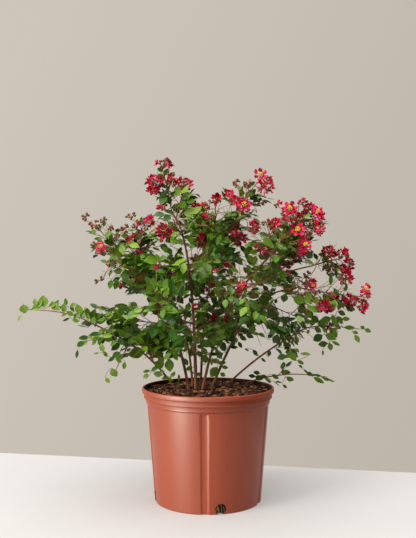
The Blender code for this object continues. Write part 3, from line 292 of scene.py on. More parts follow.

# Leaves the photo shows by themselves: middle in its frame, length there, the way the tip points in degrees
# from rightwards, breadth beside a usual one's, and tone.
# A shown leaf's tone is partly its own colour and partly painted light and shade.
Leaf = namedtuple("Leaf", "x y long turn broad tone", defaults=("mid",))
SHOWN_LEAVES = [Leaf(*row) for row in (
    (24, 309, 10, -80, 1.7, "lime"), (19.5, 317.5, 9.5, -130, 0.6, "lime"),
    (36, 307.5, 10.5, 20, 1.3, "fresh"), (43.5, 301.5, 13.5, 95, 1.5, "fresh"),
    (54.5, 306, 12.5, 135, 1.3, "fresh"), (64.3, 307.5, 12, 75, 1.4, "fresh"),
    (72, 308.5, 8, 120, 0.9, "deep"), (79, 309.5, 13, 110, 1.5, "fresh"), (85.5, 308.3, 5, 40, 0.7, "lime"),
    (66, 319.5, 8.5, 205, 0.6, "deep"), (75.5, 320.8, 8, 170, 1.0), (64, 315.2, 6.5, 200, 0.8),
    (100.4, 308.2, 9, 140, 0.5), (112, 309, 12, 30, 0.7, "deep"), (121, 306, 15, 180, 0.8, "deep"),
    (121.3, 312.5, 9, -95, 1.4, "deep"), (134, 305.3, 10, -35, 1.3, "deep"),
    (134.5, 320.6, 9, 0, 1.4, "deep"), (135.4, 327.8, 10, -45, 1.2, "deep"), (125, 331.5, 16, 100, 1.6),
    (111, 316, 9, 40, 0.6), (83.5, 337.6, 11, 185, 0.9, "cool"), (80.5, 344, 9, 215, 1.2, "cool"),
    (77, 354, 9.5, -100, 0.7, "cool"), (101.8, 347.8, 9.5, 105, 1.2, "fresh"),
    (96.1, 353.5, 6.5, 190, 0.7, "fresh"), (105.5, 354.2, 7.5, -60, 1.0),
    (116.4, 354.7, 11, 30, 1.2, "deep"), (111.5, 359, 9, 215, 0.9, "deep"), (118.9, 360.4, 8, -40, 1.2),
    (124.3, 365.6, 9, -100, 0.9), (113.9, 373, 10.5, -60, 1.4, "fresh"),
    (107.5, 380.4, 7.5, -50, 1.2, "lime"), (128.7, 349.8, 6, 30, 1.1, "deep"),
    (126, 355.2, 8, 210, 1.2, "deep"), (113.7, 342.6, 9, -140, 1.1), (136, 353, 18, 195, 1.2),
    (146.3, 371.3, 8, 190, 0.8), (145.8, 376.2, 7, 200, 1.4, "fresh"), (157.7, 374.2, 10, 170, 1.1),
    (162.6, 371.7, 5, 0, 1.2, "lime"), (169, 366, 13, -75, 1.5), (158.7, 364.8, 11, 140, 1.5),
    (154.7, 368.8, 9, 30, 1.0), (170.5, 378, 6, 60, 0.8, "fresh"), (173.5, 375.2, 5, 50, 0.9),
    (178.9, 378.7, 4.5, 90, 0.8, "lime"), (189.3, 368.3, 8, 15, 1.2), (192.3, 372.7, 4, -30, 1.0, "fresh"),
    (199.2, 374.7, 6.5, -40, 1.3, "fresh"), (214, 372, 13, -125, 1.3, "fresh"),
    (224.9, 367.3, 7.5, -10, 1.2, "fresh"), (222.9, 374.7, 6.5, -30, 1.3, "fresh"),
    (205.1, 358.9, 10, 100, 1.3, "fresh"), (212, 361.9, 8, -100, 1.1, "fresh"),
    (220, 355, 9, -80, 1.1, "fresh"), (159.7, 354.2, 9, 20, 0.9, "fresh"),
    (256.5, 372.7, 7.5, 170, 1.3, "deep"), (264, 376.7, 8, -10, 1.0, "deep"), (267.4, 379.7, 6, -40, 1.2),
    (275.3, 376.7, 9, -30, 1.1), (255.5, 353, 9, -50, 0.9, "deep"), (263.4, 360, 7, -40, 0.7, "deep"),
    (269.4, 353.5, 7, 80, 1.3, "deep"), (269, 243, 17, -47, 0.8), (251.5, 259.7, 16, -42, 0.9),
    (265, 267.4, 13, 13, 0.8, "fresh"), (256, 277, 11.5, -45, 1.0, "fresh"), (252.6, 295.2, 13, 160, 1.2),
    (266, 297.5, 14, -5, 1.1), (264.3, 303.4, 14, -35, 1.5), (268.6, 293.7, 15, -3, 0.8, "deep"),
    (282.7, 275.3, 11.5, -85, 1.3), (284.4, 297.8, 9.5, 80, 1.6, "deep"), (273, 289.8, 7, 10, 1.2, "cool"),
    (276, 301.3, 5, 60, 1.4, "cool"), (234.7, 270, 11.5, -15, 0.8, "fresh"),
    (238, 295.7, 10, -95, 0.8, "cool"), (248.7, 250.3, 11, 20, 1.3, "deep"), (283.7, 253.4, 9, -15, 1.2),
    (282.6, 260.5, 8, -30, 1.3, "deep"), (284.7, 238.8, 8, -70, 1.2), (298.8, 300, 13, -20, 1.4),
    (308.8, 297.3, 11, -80, 1.1), (296.7, 314.8, 7, 20, 1.0, "deep"), (307.5, 313.4, 16, -50, 0.8, "fresh"),
    (312, 309, 14, -35, 0.8), (318, 337.8, 12, -150, 1.4, "deep"), (331, 337, 13, -27, 1.1),
    (323, 344, 11, 185, 1.2, "deep"), (330.4, 346.8, 8.5, -80, 1.2), (336, 343.4, 10, -27, 0.7),
    (323, 353, 6, -90, 0.8), (305, 353.8, 11, 178, 0.6, "fresh"), (293.5, 357, 10, -60, 1.5),
    (301, 362.4, 9, -25, 0.8), (297.4, 350.4, 6, -50, 0.9), (349.5, 327.6, 12, 0, 0.7),
    (362.8, 327.6, 5.5, -30, 1.3), (368, 330.4, 8, -15, 1.1), (355.6, 332.4, 7, -10, 1.0, "fresh"),
    (357.2, 338.7, 10, -60, 0.9, "fresh"), (335.3, 321.5, 11.5, -80, 1.2), (346, 319, 9, 0, 1.0, "fresh"),
    (319, 380.3, 13, -28, 0.7), (309.6, 374, 7.5, -20, 1.2), (314.4, 375, 6, -5, 0.7),
    (328, 379.5, 12, -15, 0.4), (292, 379, 5, -45, 1.3), (308.2, 331.7, 5, -110, 1.2),
    (317.5, 331, 5, -60, 1.2, "deep"), (296, 343, 7, -45, 0.7, "cool"), (300.7, 366.4, 5, -30, 1.2),
    (117.8, 252, 13, 95, 1.2), (122.5, 250.5, 12, 80, 1.0, "deep"), (113, 256.5, 9, 150, 0.9),
    (108, 234, 10, 15, 1.1), (93.2, 231.7, 6.5, 200, 1.4), (99, 238.5, 9, 175, 0.5),
    (129, 243.5, 11, 30, 0.8), (136.5, 217.5, 5, 60, 1.4, "lime"), (141.3, 219.5, 7, 80, 0.8, "deep"),
    (131.7, 230.5, 7, 10, 0.8), (126, 274, 12, -160, 1.3, "deep"), (110.5, 284.5, 10, -100, 1.4),
    (110.2, 273, 9, 75, 0.6), (118, 271, 10, 190, 1.4), (131, 285.5, 11, -95, 0.8),
    (132.8, 280, 6, 0, 1.4, "lime"), (141, 286, 13, 10, 0.7), (70, 313.5, 9, 150, 1.2),
    (77, 316, 10, 40, 1.2), (83, 314, 9, 60, 1.1), (88, 316.5, 8, 100, 0.9, "fresh"), (93, 320, 9, 60, 1.0),
    (276, 339, 11, -110, 1.3, "deep"), (281.5, 357, 10, 200, 1.3, "cool"), (290, 355, 10, 20, 1.5),
    (287.5, 345, 8, -40, 1.0, "deep"), (280, 345, 7, 60, 0.9, "deep"), (283, 371.5, 6, 90, 1.2, "bronze"),
    (289.5, 379, 8, -30, 1.2), (285, 386.5, 6, -40, 1.0), (310, 254.9, 9, -60, 1.3, "deep"),
    (331, 279.5, 13, 85, 0.6, "deep"), (104, 223.5, 7, 80, 1.2, "deep"), (247, 350, 5, -30, 0.8, "deep"),
    (336, 292, 10, 120, 0.9, "deep"), (346, 288, 9, 70, 0.8, "deep"), (342, 305, 8, -20, 1.2, "deep"),
    (165, 378, 8, 200, 1.1), (170, 379.5, 7, -20, 0.9), (172.5, 374.5, 8, 50, 0.8, "fresh"),
    (179, 377, 6, 95, 0.9), (179, 384, 5, 110, 0.7), (94, 334, 11, 190, 0.8, "cool"),
    (102, 331, 11, 200, 0.9), (107, 336, 12, 185, 0.9, "fresh"), (271.6, 314.6, 17, -5, 1.0, "deep"),
    (326, 320, 13, 20, 1.2), (334, 319, 10, -60, 1.0, "fresh"), (322, 325, 10, 160, 1.1, "cool"),
    (188, 307, 10, 80, 1.2), (191, 301, 8, -60, 1.0, "deep"), (243, 338, 9, -30, 1.1, "deep"),
    (250, 336, 9, -20, 1.0, "deep"), (256, 333.5, 8, 0, 1.0), (262, 335, 8, -30, 0.9, "deep"),
    (240, 345, 8, -60, 1.0, "cool"), (205, 352, 10, -70, 1.2, "fresh"), (216, 361, 10, -10, 1.1, "fresh"),
    (222, 363, 9, 10, 1.0, "fresh"), (186, 362, 9, -60, 1.0), (158, 258, 10, -60, 1.0),
    (97, 238.5, 7, 190, 0.9, "deep"), (249, 268, 9, -50, 1.0), (262, 246, 9, 20, 1.0, "cool"),
    (243, 249, 9, -60, 1.1, "deep"), (247, 256, 10, -80, 1.0, "deep"), (240, 262, 9, -50, 0.9, "cool"),
    (250, 262, 8, -30, 1.0, "deep"), (245, 270, 8, -70, 0.9, "deep"), (254, 252, 10, 10, 1.1),
    (262, 257, 9, -20, 1.2, "deep"), (166, 250, 9, -40, 1.1), (170, 257, 8, 20, 1.0, "cool"),
    (52, 305, 8, 20, 1.1, "fresh"), (57, 303, 8, 60, 1.0), (66, 301.5, 8, 100, 1.0), (73, 305, 8, 40, 1.1),
    (62, 308, 8, -30, 0.9), (324, 268, 8, 60, 0.8, "deep"), (336, 273, 9, -80, 0.8, "deep"),
    (263, 268, 10, -30, 1.2, "deep"), (268, 273, 9, 40, 1.1), (259, 275, 8, -60, 1.0, "cool"),
    (342, 313, 10, -20, 1.0), (340, 320, 10, -50, 1.1), (164, 247, 10, -30, 1.3, "deep"),
    (170, 252, 10, -70, 1.2, "deep"), (163, 258, 9, 30, 1.2), (172, 260, 8, -20, 1.0, "cool"),
    (309, 314, 11, -10, 1.2, "deep"), (315, 319, 11, -40, 1.2, "deep"), (308, 322, 9, 20, 1.1),
    (245, 331, 10, -30, 1.2, "deep"), (252, 330, 9, -60, 1.1), (180, 300, 11, -50, 1.2, "deep"),
    (40, 303, 9, 70, 1.2, "fresh"), (35, 302, 8, 100, 1.1), (260, 283, 10, -20, 1.2),
    (266, 289, 10, -50, 1.1, "deep"), (169.5, 365, 14, -80, 1.3), (161, 362, 11, -60, 1.1),
    (252, 376, 8, 170, 1.2, "deep"), (311, 374.5, 8, -20, 0.8, "cool"), (318, 375.5, 8, -15, 0.7, "cool"),
    (306, 371.5, 7, -40, 0.7, "cool"), (325, 379, 8, -35, 0.7), (332, 381, 7, -20, 0.6),
    (259, 378, 9, -20, 1.2, "deep"),
)]

# How some masses grow: how far their leaves face the viewer, how often a leaf is turned up, the share of the
# usual twigs, whether leaves keep clear of gaps, flower heads and limbs in the photo, and the height that
# they stay under. The leaves of those without any are all among the sprigs' and the shown ones.
Habit = namedtuple("Habit", "frontal up twigs shy ceiling", defaults=(True, 9.0))
USUAL_HABIT = Habit(0.10, 0.25, 1.0)
SPRIG_HABIT = Habit(0.8, 0.25, 1.0, shy=False)
NO_LEAVES = Habit(0.0, 0.0, 0.0)
HABITS = {
    "foliage_far_left": NO_LEAVES,
    "foliage_low_left": Habit(0.80, 0.20, 0.1, ceiling=0.358),
    "foliage_left_droop": NO_LEAVES,
    "foliage_left_low": Habit(0.50, 0.30, 1.0),
    "foliage_low_right": Habit(0.80, 0.20, 0.1),
    "foliage_right_droop": Habit(0.60, 0.20, 0.1),
    "foliage_far_right": NO_LEAVES,
    "foliage_right_tip": Habit(0.40, 0.30, 1.0),
}

# Growth: leaves and twigs. Shares are of a limb's or a mass's own stem, from its foot.
SEED = 11
LEAF_LENGTH = 0.0288
LEAF_SPACING = 0.0110
LEAF_FORMS = 12
LEAF_TRIES = 4
SIDE_LEAF_SWING = (0.6, 1.15)
SIDE_LEAF_SIZE = (0.72, 1.20)
SIDE_LEAF_STEP = (0.85, 1.2)
TIP_LEAF_SWING = (-0.3, 0.3)
TIP_LEAF_SIZE = (0.7, 0.95)
LEAF_RISE_TURNED_UP = (0.15, 0.9)
LEAF_RISE = (-0.38, 0.12)
LEAF_ROLL = (-0.45, 0.45)
LEAF_MIDDLE = 0.53
LEAF_ROOM_AT = (0.4, 0.7, 1.0)
LEAF_ROOM_ACROSS = 0.2
SHOWN_LEAF_FORWARD = 0.015
LOOK_UP = 0.9
LOOK_OUT = 0.30
LOOK_SWAY = 0.42
TWIG_TRIES = 3
TWIG_LEAN_DEG = (38, 64)
TWIG_SWAY = (-0.5, 0.5)
TWIG_RISE = (0.0, 0.25)
TWIG_LENGTH = (0.8, 1.1)
TWIG_DROOP = 0.10
TWIG_BOW = 0.06
FULLEST_AT = 0.45
GREEN_TWIGS = 0.2
TWIG_SHARE_OF_SOURCE = 2.1
REACH_BEYOND_TWIG = 0.012
FORKS_FROM_LENGTH = 0.04
FORKS_AT = (0.35, 0.62)
FORK_VIGOUR = 0.6
FIRST_TWIG = 0.08
LAST_TWIG = 0.94
LAST_TWIG_UNDER_BLOSSOM = 0.66
BARE_UNDER_TIP = 0.010
STEM_BARE_SHARE = 0.45
BOUGH_BARE_SHARE = 0.12
LIMB_TWIG_SPACING = 0.020
LIMB_TWIG_SPREAD = 0.024
LIMB_TWIG_VIGOUR = 0.9
SPINE_RADIUS = 0.0015
SPINE_TIP_RADIUS = 0.0008
TWIG_RADIUS = 0.0009
TWIG_TIP_RADIUS = 0.0005
LEAF_TWIG_RADIUS = 0.0007
QUARTERS = (0, 0.25, 0.5, 0.75, 1)

# Growth: flowers and buds.
FLOWER_RADIUS = 0.0145
BUD_RADIUS = 0.0030
STALK_RADIUS = 0.0010
PEDICEL_RADIUS = 0.0006
PEDICEL_TIP_RADIUS = 0.0005
CRUMPLED_SIZE = (0.62, 0.90)
BUD_SIZE = (0.82, 1.12)
HEAD_REACH = (0.7, 1.0)
HIND_HEAD_AWAY = (0.020, 0.034)
HIND_HEAD_WIDE = (0.011, 0.017)
HIND_HEAD_TALL = (0.011, 0.019)
HEAD_FORWARD = 0.006
FACED_FORWARD = 0.004
OPEN_CUPS = (0.1, 0.2, 0.3, 0.2)
CRUMPLED_CUPS = (0.4, 0.6, 0.9, 1.1, 0.7)
OPEN_STAMENS = 16
CRUMPLED_STAMENS = 2
FLOWER_ROOM = 0.008
BUDS_ROOM = 0.004

# Growth: what it keeps clear of. Distances in the photo are in its pixels.
CROWD_CELL = 0.0045
LIMB_CLEARANCE = 0.0015
POT_CLEARANCE = 0.004
LIMB_SIGHT = 2.2
BEFORE_LIMB = 0.004
BARE_BELOW = 0.31
UPPER_LIMBS_SEEN = 0.6
HEAD_MARGIN = 1.5
HIND_DEPTH = 0.1
HIND_PENALTY = 16
FLOWERLESS_PENALTY = 5.0

# The potting mix's top, the bark chips on it and the roots in the pot's drain holes.
SOIL_LUMPS = 0.0030
SOIL_GRAINS = 0.0022
SOIL_MOUND = 0.0020
SOIL_RINGS = 46
SOIL_SIDES = 150
SOIL_SIDE_RINGS = 12
CHIPS = 3400
ROOTS_IN_DRAIN = 11

# The stage.
TABLE_THICKNESS = 0.04
AMBIENT = 0.16

# How often each tone is dealt: petals from bright to deep by the head's tone, leaves from deep to bronze by
# mass, spray by spray, then chips, calyxes and the buds' tips.
PETAL_WEIGHTS = {"bright": (6, 3, 1), "mid": (2, 5, 3), "deep": (1, 3, 6)}
# These weights deal deeper or brighter greens, partly as painted light and shade.
LEAF_WEIGHTS = {
    "foliage_low_left": (1, 0, 4, 4, 1, 0),
    "foliage_low_right": (1, 2, 5, 3, 0, 0),
    "foliage_right_fork": (3, 3, 5, 2, 0, 0.2),
    "foliage_right_low": (3, 3, 5, 2, 0, 0),
    "foliage_upper_left": (8, 2, 3, 0.3, 0, 0.4),
    "foliage_left_flower": (8, 2, 3, 0.3, 0, 0.4),
    "foliage_left_crimson": (7, 2, 4, 0.4, 0, 0.4),
    "foliage_left_centre": (3, 2, 6, 1.2, 0, 0.2),
    "foliage_left_inner": (2, 2, 6, 2, 0, 0.2),
    "foliage_back_left": (2, 2, 6, 2, 0, 0.2),
    "foliage_centre": (3, 2, 6, 1.6, 0, 0.2),
    "foliage_centre_back": (3, 2, 6, 1.6, 0, 0.2),
    "foliage_middle_right": (9, 3, 3, 0.2, 0, 0),
    "foliage_front_right": (7, 2, 4, 0.8, 0, 0),
    "foliage_right_droop": (3, 3, 3, 1, 0, 0),
    "foliage_front_low": (4, 2, 4, 2, 0, 0),
}
USUAL_LEAF_WEIGHTS = (5, 2, 5, 1.55, 0, 0.4)
CHIP_WEIGHTS = (10, 5, 4, 3)
CALYX_WEIGHTS = (5, 4, 2)
# A bud's tip takes its calyx's tone, red, or the salmon of painted highlight.
BUD_TIP_WEIGHTS = (5, 3, 2)


def new_material(name):
    """A new material, with its nodes, its links and its Principled shader."""
    made = bpy.data.materials.new(name)
    made.use_nodes = True
    nodes = made.node_tree.nodes
    return made, nodes, made.node_tree.links, nodes["Principled BSDF"]


def material(name, colour, roughness, spread=0.2, scale=70.0, bump=0.15, stretch=(1.0, 1.0, 1.0), gloss=0.5):
    """A Principled material whose tone and height wander with a noise in the object's own space."""
    made, nodes, links, shader = new_material(name)
    place = nodes.new("ShaderNodeTexCoord")
    mapping = nodes.new("ShaderNodeMapping")
    mapping.inputs["Scale"].default_value = stretch
    links.new(place.outputs["Object"], mapping.inputs["Vector"])
    grain = nodes.new("ShaderNodeTexNoise")
    grain.inputs["Scale"].default_value = scale
    grain.inputs["Detail"].default_value = 4.0
    links.new(mapping.outputs["Vector"], grain.inputs["Vector"])
    tones = nodes.new("ShaderNodeValToRGB")
    low, high = tones.color_ramp.elements
    low.position, high.position = 0.3, 0.7
    low.color = (*[c * (1 - spread) for c in colour], 1.0)
    high.color = (*[min(1.0, c * (1 + spread)) for c in colour], 1.0)
    links.new(grain.outputs["Fac"], tones.inputs["Fac"])
    links.new(tones.outputs["Color"], shader.inputs["Base Color"])
    relief = nodes.new("ShaderNodeBump")
    relief.inputs["Strength"].default_value = bump
    relief.inputs["Distance"].default_value = 0.001
    links.new(grain.outputs["Fac"], relief.inputs["Height"])
    links.new(relief.outputs["Normal"], shader.inputs["Normal"])
    shader.inputs["Roughness"].default_value = roughness
    shader.inputs["Specular IOR Level"].default_value = gloss
    return made


def srgb(red, green, blue):
    """The linear colour of an 8-bit one."""
    shares = [c / 255 for c in (red, green, blue)]
    return tuple(s / 12.92 if s < 0.0405 else ((s + 0.055) / 1.055) ** 2.4 for s in shares)


# Leaf tones: partly the leaves' own spread of colour, partly painted light and shade; deep, mid and fresh are
# darker and brighter copies of one green.
LEAF_TONES = {
    "leaf_deep": srgb(72, 110, 10),
    "leaf_cool": srgb(70, 122, 32),
    "leaf_mid": srgb(106, 150, 18),
    "leaf_fresh": srgb(134, 170, 48),
    "leaf_lime": srgb(160, 194, 72),
    "leaf_bronze": srgb(136, 112, 52),
}
# Petal tones from bright to deep: partly the flowers' own spread of colour, partly painted light and shade.
PETAL_TONES = {
    "petal_bright": srgb(255, 60, 112),
    "petal_mid": srgb(230, 34, 84),
    "petal_deep": srgb(170, 14, 54),
}
BUD_TONES = {
    "bud_olive": srgb(112, 104, 52),
    "bud_brown": srgb(128, 86, 56),
    "bud_red": srgb(158, 56, 58),
    # The salmon tone is a painted highlight, as of a sunlit tip.
    "bud_salmon": srgb(236, 152, 116),
}
TWIG_TONES = {
    "twig_brown": srgb(168, 106, 76),
    "twig_green": srgb(142, 136, 66),
    "pedicel": srgb(168, 116, 82),
}


def put_in_scene(name, data):
    """A new object of a mesh, a light or a camera."""
    made = bpy.data.objects.new(name, data)
    bpy.context.scene.collection.objects.link(made)
    return made


def finished_mesh(name, solid):
    """The mesh of a solid that was being edited, which is let go."""
    data = bpy.data.meshes.new(name)
    solid.to_mesh(data)
    solid.free()
    return data


def pick(rng, weights):
    """A place in a list of weights, drawn by them."""
    return rng.choices(range(len(weights)), weights)[0]


def leaf_tone(word):
    """The place of a tone among the leaves' own."""
    return list(LEAF_TONES).index("leaf_" + word)


FRESH_TONES = leaf_tone("fresh"), leaf_tone("lime")


class Batch:
    """Many small shapes of one kind, joined into one mesh."""

    def __init__(self, name, shades, smooth=True):
        self.name, self.shades, self.smooth = name, shades, smooth
        self.verts, self.tris, self.index, self.count = [], [], [], 0

    def add(self, verts, tris, shade):
        """Adds a shape of triangles. shade is one number, or one for each triangle."""
        self.verts.append(np.asarray(verts, np.float32))
        self.tris.append(np.asarray(tris, np.int32) + self.count)
        self.index.append(np.broadcast_to(np.asarray(shade, np.int32), (len(tris),)))
        self.count += len(verts)

    def build(self):
        """The joined mesh's object."""
        verts, tris = np.concatenate(self.verts), np.concatenate(self.tris)
        data = bpy.data.meshes.new(self.name)
        data.vertices.add(len(verts))
        data.vertices.foreach_set("co", verts.ravel())
        data.loops.add(tris.size)
        data.loops.foreach_set("vertex_index", tris.ravel())
        data.polygons.add(len(tris))
        data.polygons.foreach_set("loop_start", np.arange(0, tris.size, 3))
        data.polygons.foreach_set("material_index", np.concatenate(self.index))
        data.polygons.foreach_set("use_smooth", np.full(len(tris), self.smooth))
        for shade in self.shades:
            data.materials.append(shade)
        data.update()
        data.validate()
        print(self.name, len(tris), "triangles")
        return put_in_scene(self.name, data)


def polar(radius, angle, height):
    """A point from its radius and angle about +Z."""
    return radius * math.cos(angle), radius * math.sin(angle), height


def placed(verts, matrix):
    """An array of points moved by a matrix."""
    matrix = np.array(matrix)
    return np.asarray(verts) @ matrix[:3, :3].T + matrix[:3, 3]


def frame_matrix(place, heading, normal, scale=1.0):
    """Puts a shape's +Y along heading and its +Z along normal."""
    heading = heading.normalized()
    across = heading.cross(normal).normalized()
    normal = across.cross(heading)
    turned = Matrix((across, heading, normal)).transposed().to_4x4()
    return Matrix.Translation(place) @ turned @ Matrix.Scale(scale, 4)


def strips(rows, columns, closed):
    """Triangles of a grid of points, row after row."""
    tris = []
    last = columns if closed else columns - 1
    for i in range(rows - 1):
        for j in range(last):
            a, b = i * columns + j, i * columns + (j + 1) % columns
            c, d = a + columns, b + columns
            tris += [(a, b, d), (a, d, c)]
    return tris


def tube(path, radii, sides):
    """A tapering tube along a path, closed at both ends."""
    points = []
    along = (path[1] - path[0]).normalized()
    side = along.orthogonal().normalized()
    for i, (place, radius) in enumerate(zip(path, radii)):
        ahead = path[min(i + 1, len(path) - 1)] - path[max(i - 1, 0)]
        along = ahead.normalized()
        side = (side - along * side.dot(along)).normalized()
        other = along.cross(side)
        for j in range(sides):
            angle = math.tau * j / sides
            points.append(place + (side * math.cos(angle) + other * math.sin(angle)) * radius)
    tris = strips(len(path), sides, True)
    count = len(points)
    points += [path[0], path[-1]]
    foot = (len(path) - 1) * sides
    tris += [(count, (j + 1) % sides, j) for j in range(sides)]
    tris += [(count + 1, foot + j, foot + (j + 1) % sides) for j in range(sides)]
    return points, tris


# Limbs


def bowed(start, bend, end, shares):
    """Points at some shares of a curve that leaves start towards bend and comes to end from it."""
    return [start * (1 - t) ** 2 + bend * 2 * t * (1 - t) + end * t**2 for t in shares]


def limb_curve(start, end, arch, points, lift=0.0):
    """Points of a limb that bends evenly from start to end."""
    start, end = Vector(start), Vector(end)
    across = Vector((end.x - start.x, end.y - start.y, 0.0))
    bend = start + across * (1 - arch) / 2 + Vector((0, 0, (end.z - start.z) * (1 + arch) / 2 + lift))
    return bowed(start, bend, end, [i / (points - 1) for i in range(points)])


def at_share(path, share):
    """The point and the direction at a share of a path's points."""
    place = min(share, 0.9999) * (len(path) - 1)
    first = int(place)
    step = path[first + 1] - path[first]
    return path[first] + step * (place - first), step.normalized()


def at_length(path, length):
    """The point and the direction at a length along a path."""
    for a, b in zip(path, path[1:]):
        step = (b - a).length
        if length <= step or b is path[-1]:
            return a + (b - a) * (length / step), (b - a).normalized()
        length -= step


def path_length(path):
    return sum((b - a).length for a, b in zip(path, path[1:]))


def sideways(along, angle):
    """A direction square to along, turned about it by angle from the level one."""
    level = along.cross(Vector((0, 0, 1)))
    if level.length < 1e-3:
        level = Vector((1, 0, 0))
    return Quaternion(along, angle) @ level.normalized()


def limb_paths():
    """The path and the radius at each point of every stem and bough."""
    grown = {}
    for limb in STEMS:
        foot = Vector((*FEET[limb.name], SOIL_LEVEL))
        rise = foot + Vector((0, 0, FLARE_HEIGHT / 4))
        grown[limb.name] = limb, [foot, *limb_curve(rise, limb.end, limb.arch, STEM_POINTS)]
    for limb in BOUGHS:
        parent = grown[limb.parent][1]
        start = at_share(parent, limb.share)[0]
        grown[limb.name] = limb, limb_curve(start, limb.end, limb.arch, BOUGH_POINTS)
    return grown


def limb_radii(limb, path):
    """Radii with a flare at a stem's foot, a collar at a bough's, and swollen nodes."""
    length = path_length(path)
    radii, run = [], 0.0
    for i, place in enumerate(path):
        run += (place - path[i - 1]).length if i else 0.0
        radius = limb.foot_radius + (limb.end_radius - limb.foot_radius) * run / length
        if limb.parent is None:
            radius *= 1 + (FLARE - 1) * max(0.0, 1 - (place.z - path[0].z) / FLARE_HEIGHT)
        else:
            radius *= 1 + BOUGH_SWELL * math.exp(-run / BOUGH_SWELL_REACH)
        node = abs((run / NODE_SPACING) % 1.0 - 0.5)
        radii.append(radius * (1 + NODE_SWELL * math.exp(-((node / NODE_WIDTH) ** 2))))
    return radii


def bark_mesh(limb, path, shade):
    """A limb's tube with ridges that run along it and flakes across it."""
    points, tris = tube(path, limb_radii(limb, path), BARK_SIDES)
    phase = sum(map(ord, limb.name)) * 0.37
    for i, centre in enumerate(path):
        for j in range(BARK_SIDES):
            k = i * BARK_SIDES + j
            ridge = noise.noise(Vector((j * 0.9, i * 0.10, phase)))
            flake = noise.noise(Vector((j * 0.5, i * 0.55, phase + 9)))
            points[k] = centre + (points[k] - centre) * (1 + BARK_RIDGES * ridge + BARK_FLAKES * flake)
    batch = Batch(limb.name + "_bark", [shade])
    batch.add([tuple(p) for p in points], tris, 0)
    return batch.build()


# Foliage


def leaf_template(rng):
    """A folded oval blade one unit long, with a short stalk, its foot at the origin and its tip along +Y."""
    fold, curl, wave = rng.uniform(0.05, 0.35), rng.uniform(-0.08, 0.24), rng.uniform(-0.02, 0.02)
    width, stalk, blunt = rng.uniform(0.22, 0.29), 0.07, rng.uniform(0.78, 0.98)
    shares = (0.07, 0.24, 0.46, 0.68, 0.87)
    verts = [(0.0, stalk, 0.0)]
    for t in shares:
        half = width * math.sin(math.pi * t**blunt) ** 0.9
        for x in (-1.0, -0.55, 0.0, 0.55, 1.0):
            z = half * fold * abs(x) ** 1.3 - curl * t * t + wave * math.sin(9 * t + 3 * x)
            verts.append((x * half, stalk + t * (1 - stalk), z))
    verts.append((0.0, 1.0, -curl * 1.05))
    tris = [(0, 2 + j, 1 + j) for j in range(4)]
    tris += [(a + 1, b + 1, c + 1) for a, b, c in strips(len(shares), 5, False)]
    tip, last = len(verts) - 1, 1 + 5 * (len(shares) - 1)
    tris += [(last + j, last + j + 1, tip) for j in range(4)]
    foot = len(verts)
    verts += [(-0.018, 0.0, 0.0), (0.018, 0.0, 0.0), (0.0, 0.0, -0.03), (0.0, stalk + 0.03, -0.012)]
    tris += [(foot, foot + 1, foot + 3), (foot + 1, foot + 2, foot + 3), (foot + 2, foot, foot + 3)]
    return np.array(verts), np.array(tris)


def bud_template():
    """A six-sided bud with a blunt point, its lower part the calyx."""
    profile = ((0.5, -0.85), (1.0, -0.15), (0.78, 0.5))
    verts = [(0.0, 0.0, -1.0)]
    for radius, z in profile:
        verts += [polar(radius, i * math.tau / 6, z) for i in range(6)]
    verts.append((0.0, 0.0, 1.1))
    tris = [(0, 1 + (j + 1) % 6, 1 + j) for j in range(6)]
    tris += [(a + 1, b + 1, c + 1) for a, b, c in strips(3, 6, True)]
    tris += [(13 + j, 13 + (j + 1) % 6, 19) for j in range(6)]
    return np.array(verts), np.array(tris)


def petal(rng, cup):
    """A ruffled blade on a thin claw, along +X, one unit long from the flower's middle."""
    sides, middle, reach = 12, 0.69, 0.31
    phase, phase2 = rng.uniform(0, 6), rng.uniform(0, 6)
    verts = [(middle, 0.0, 0.03)]
    for ring, size in ((0.4, 0.05), (0.75, 0.12), (1.0, 0.20)):
        for i in range(sides):
            a = math.tau * i / sides
            r = reach * ring * (1 + 0.20 * math.sin(5 * a + phase2) * ring)
            z = size * math.sin(3 * a + phase) * (0.7 + 0.5 * math.sin(5 * a + phase2 + 1.5))
            verts.append((middle + r * math.cos(a), r * 1.02 * math.sin(a), z))
    tris = [(0, 1 + i, 1 + (i + 1) % sides) for i in range(sides)]
    tris += [(a + 1, c + 1, b + 1) for a, b, c in strips(3, sides, True)]
    foot, neck = len(verts), middle - reach * 0.7
    verts += [(0.02, -0.025, 0.0), (0.02, 0.025, 0.0), (neck, -0.05, 0.0), (neck, 0.05, 0.0)]
    tris += [(foot, foot + 2, foot + 3), (foot, foot + 3, foot + 1)]
    verts = np.array(verts)
    verts[:, 2] += cup * verts[:, 0] ** 1.5
    verts[:, 0] *= 1 - 0.45 * max(0.0, cup - 0.3)
    return verts, np.array(tris)


def flower_template(rng, cup, stamens):
    """Six ruffled petals round a tuft of stamens. Gives each petal's shape, then the tuft's."""
    petals = []
    for i in range(6):
        blade, faces = petal(rng, cup + rng.uniform(-0.15, 0.15))
        angle = i * math.tau / 6 + rng.uniform(-0.16, 0.16)
        petals.append((placed(blade * rng.uniform(0.86, 1.10), Matrix.Rotation(angle, 4, "Z")), faces))
    tuft, faces = [], []
    for i in range(stamens):
        lean = 0.85 * math.sqrt((i + 0.5) / stamens)
        way = Vector(polar(lean, i * GOLDEN_ANGLE, 1.0)).normalized()
        end = way * rng.uniform(0.38, 0.52)
        first = len(tuft)
        tuft += [(0.02, 0.0, 0.0), (-0.02, 0.0, 0.0), tuple(end)]
        faces.append((first, first + 1, first + 2))
        first = len(tuft)
        for x, y, z in ((1, 0, 0), (0, 1, 0), (-1, 0, 0), (0, -1, 0), (0, 0, 1), (0, 0, -1)):
            tuft.append((end.x + x * 0.11, end.y + y * 0.11, end.z + z * 0.11))
        for a, b in ((0, 1), (1, 2), (2, 3), (3, 0)):
            faces += [(first + a, first + b, first + 4), (first + b, first + a, first + 5)]
    return petals, np.array(tuft), np.array(faces)


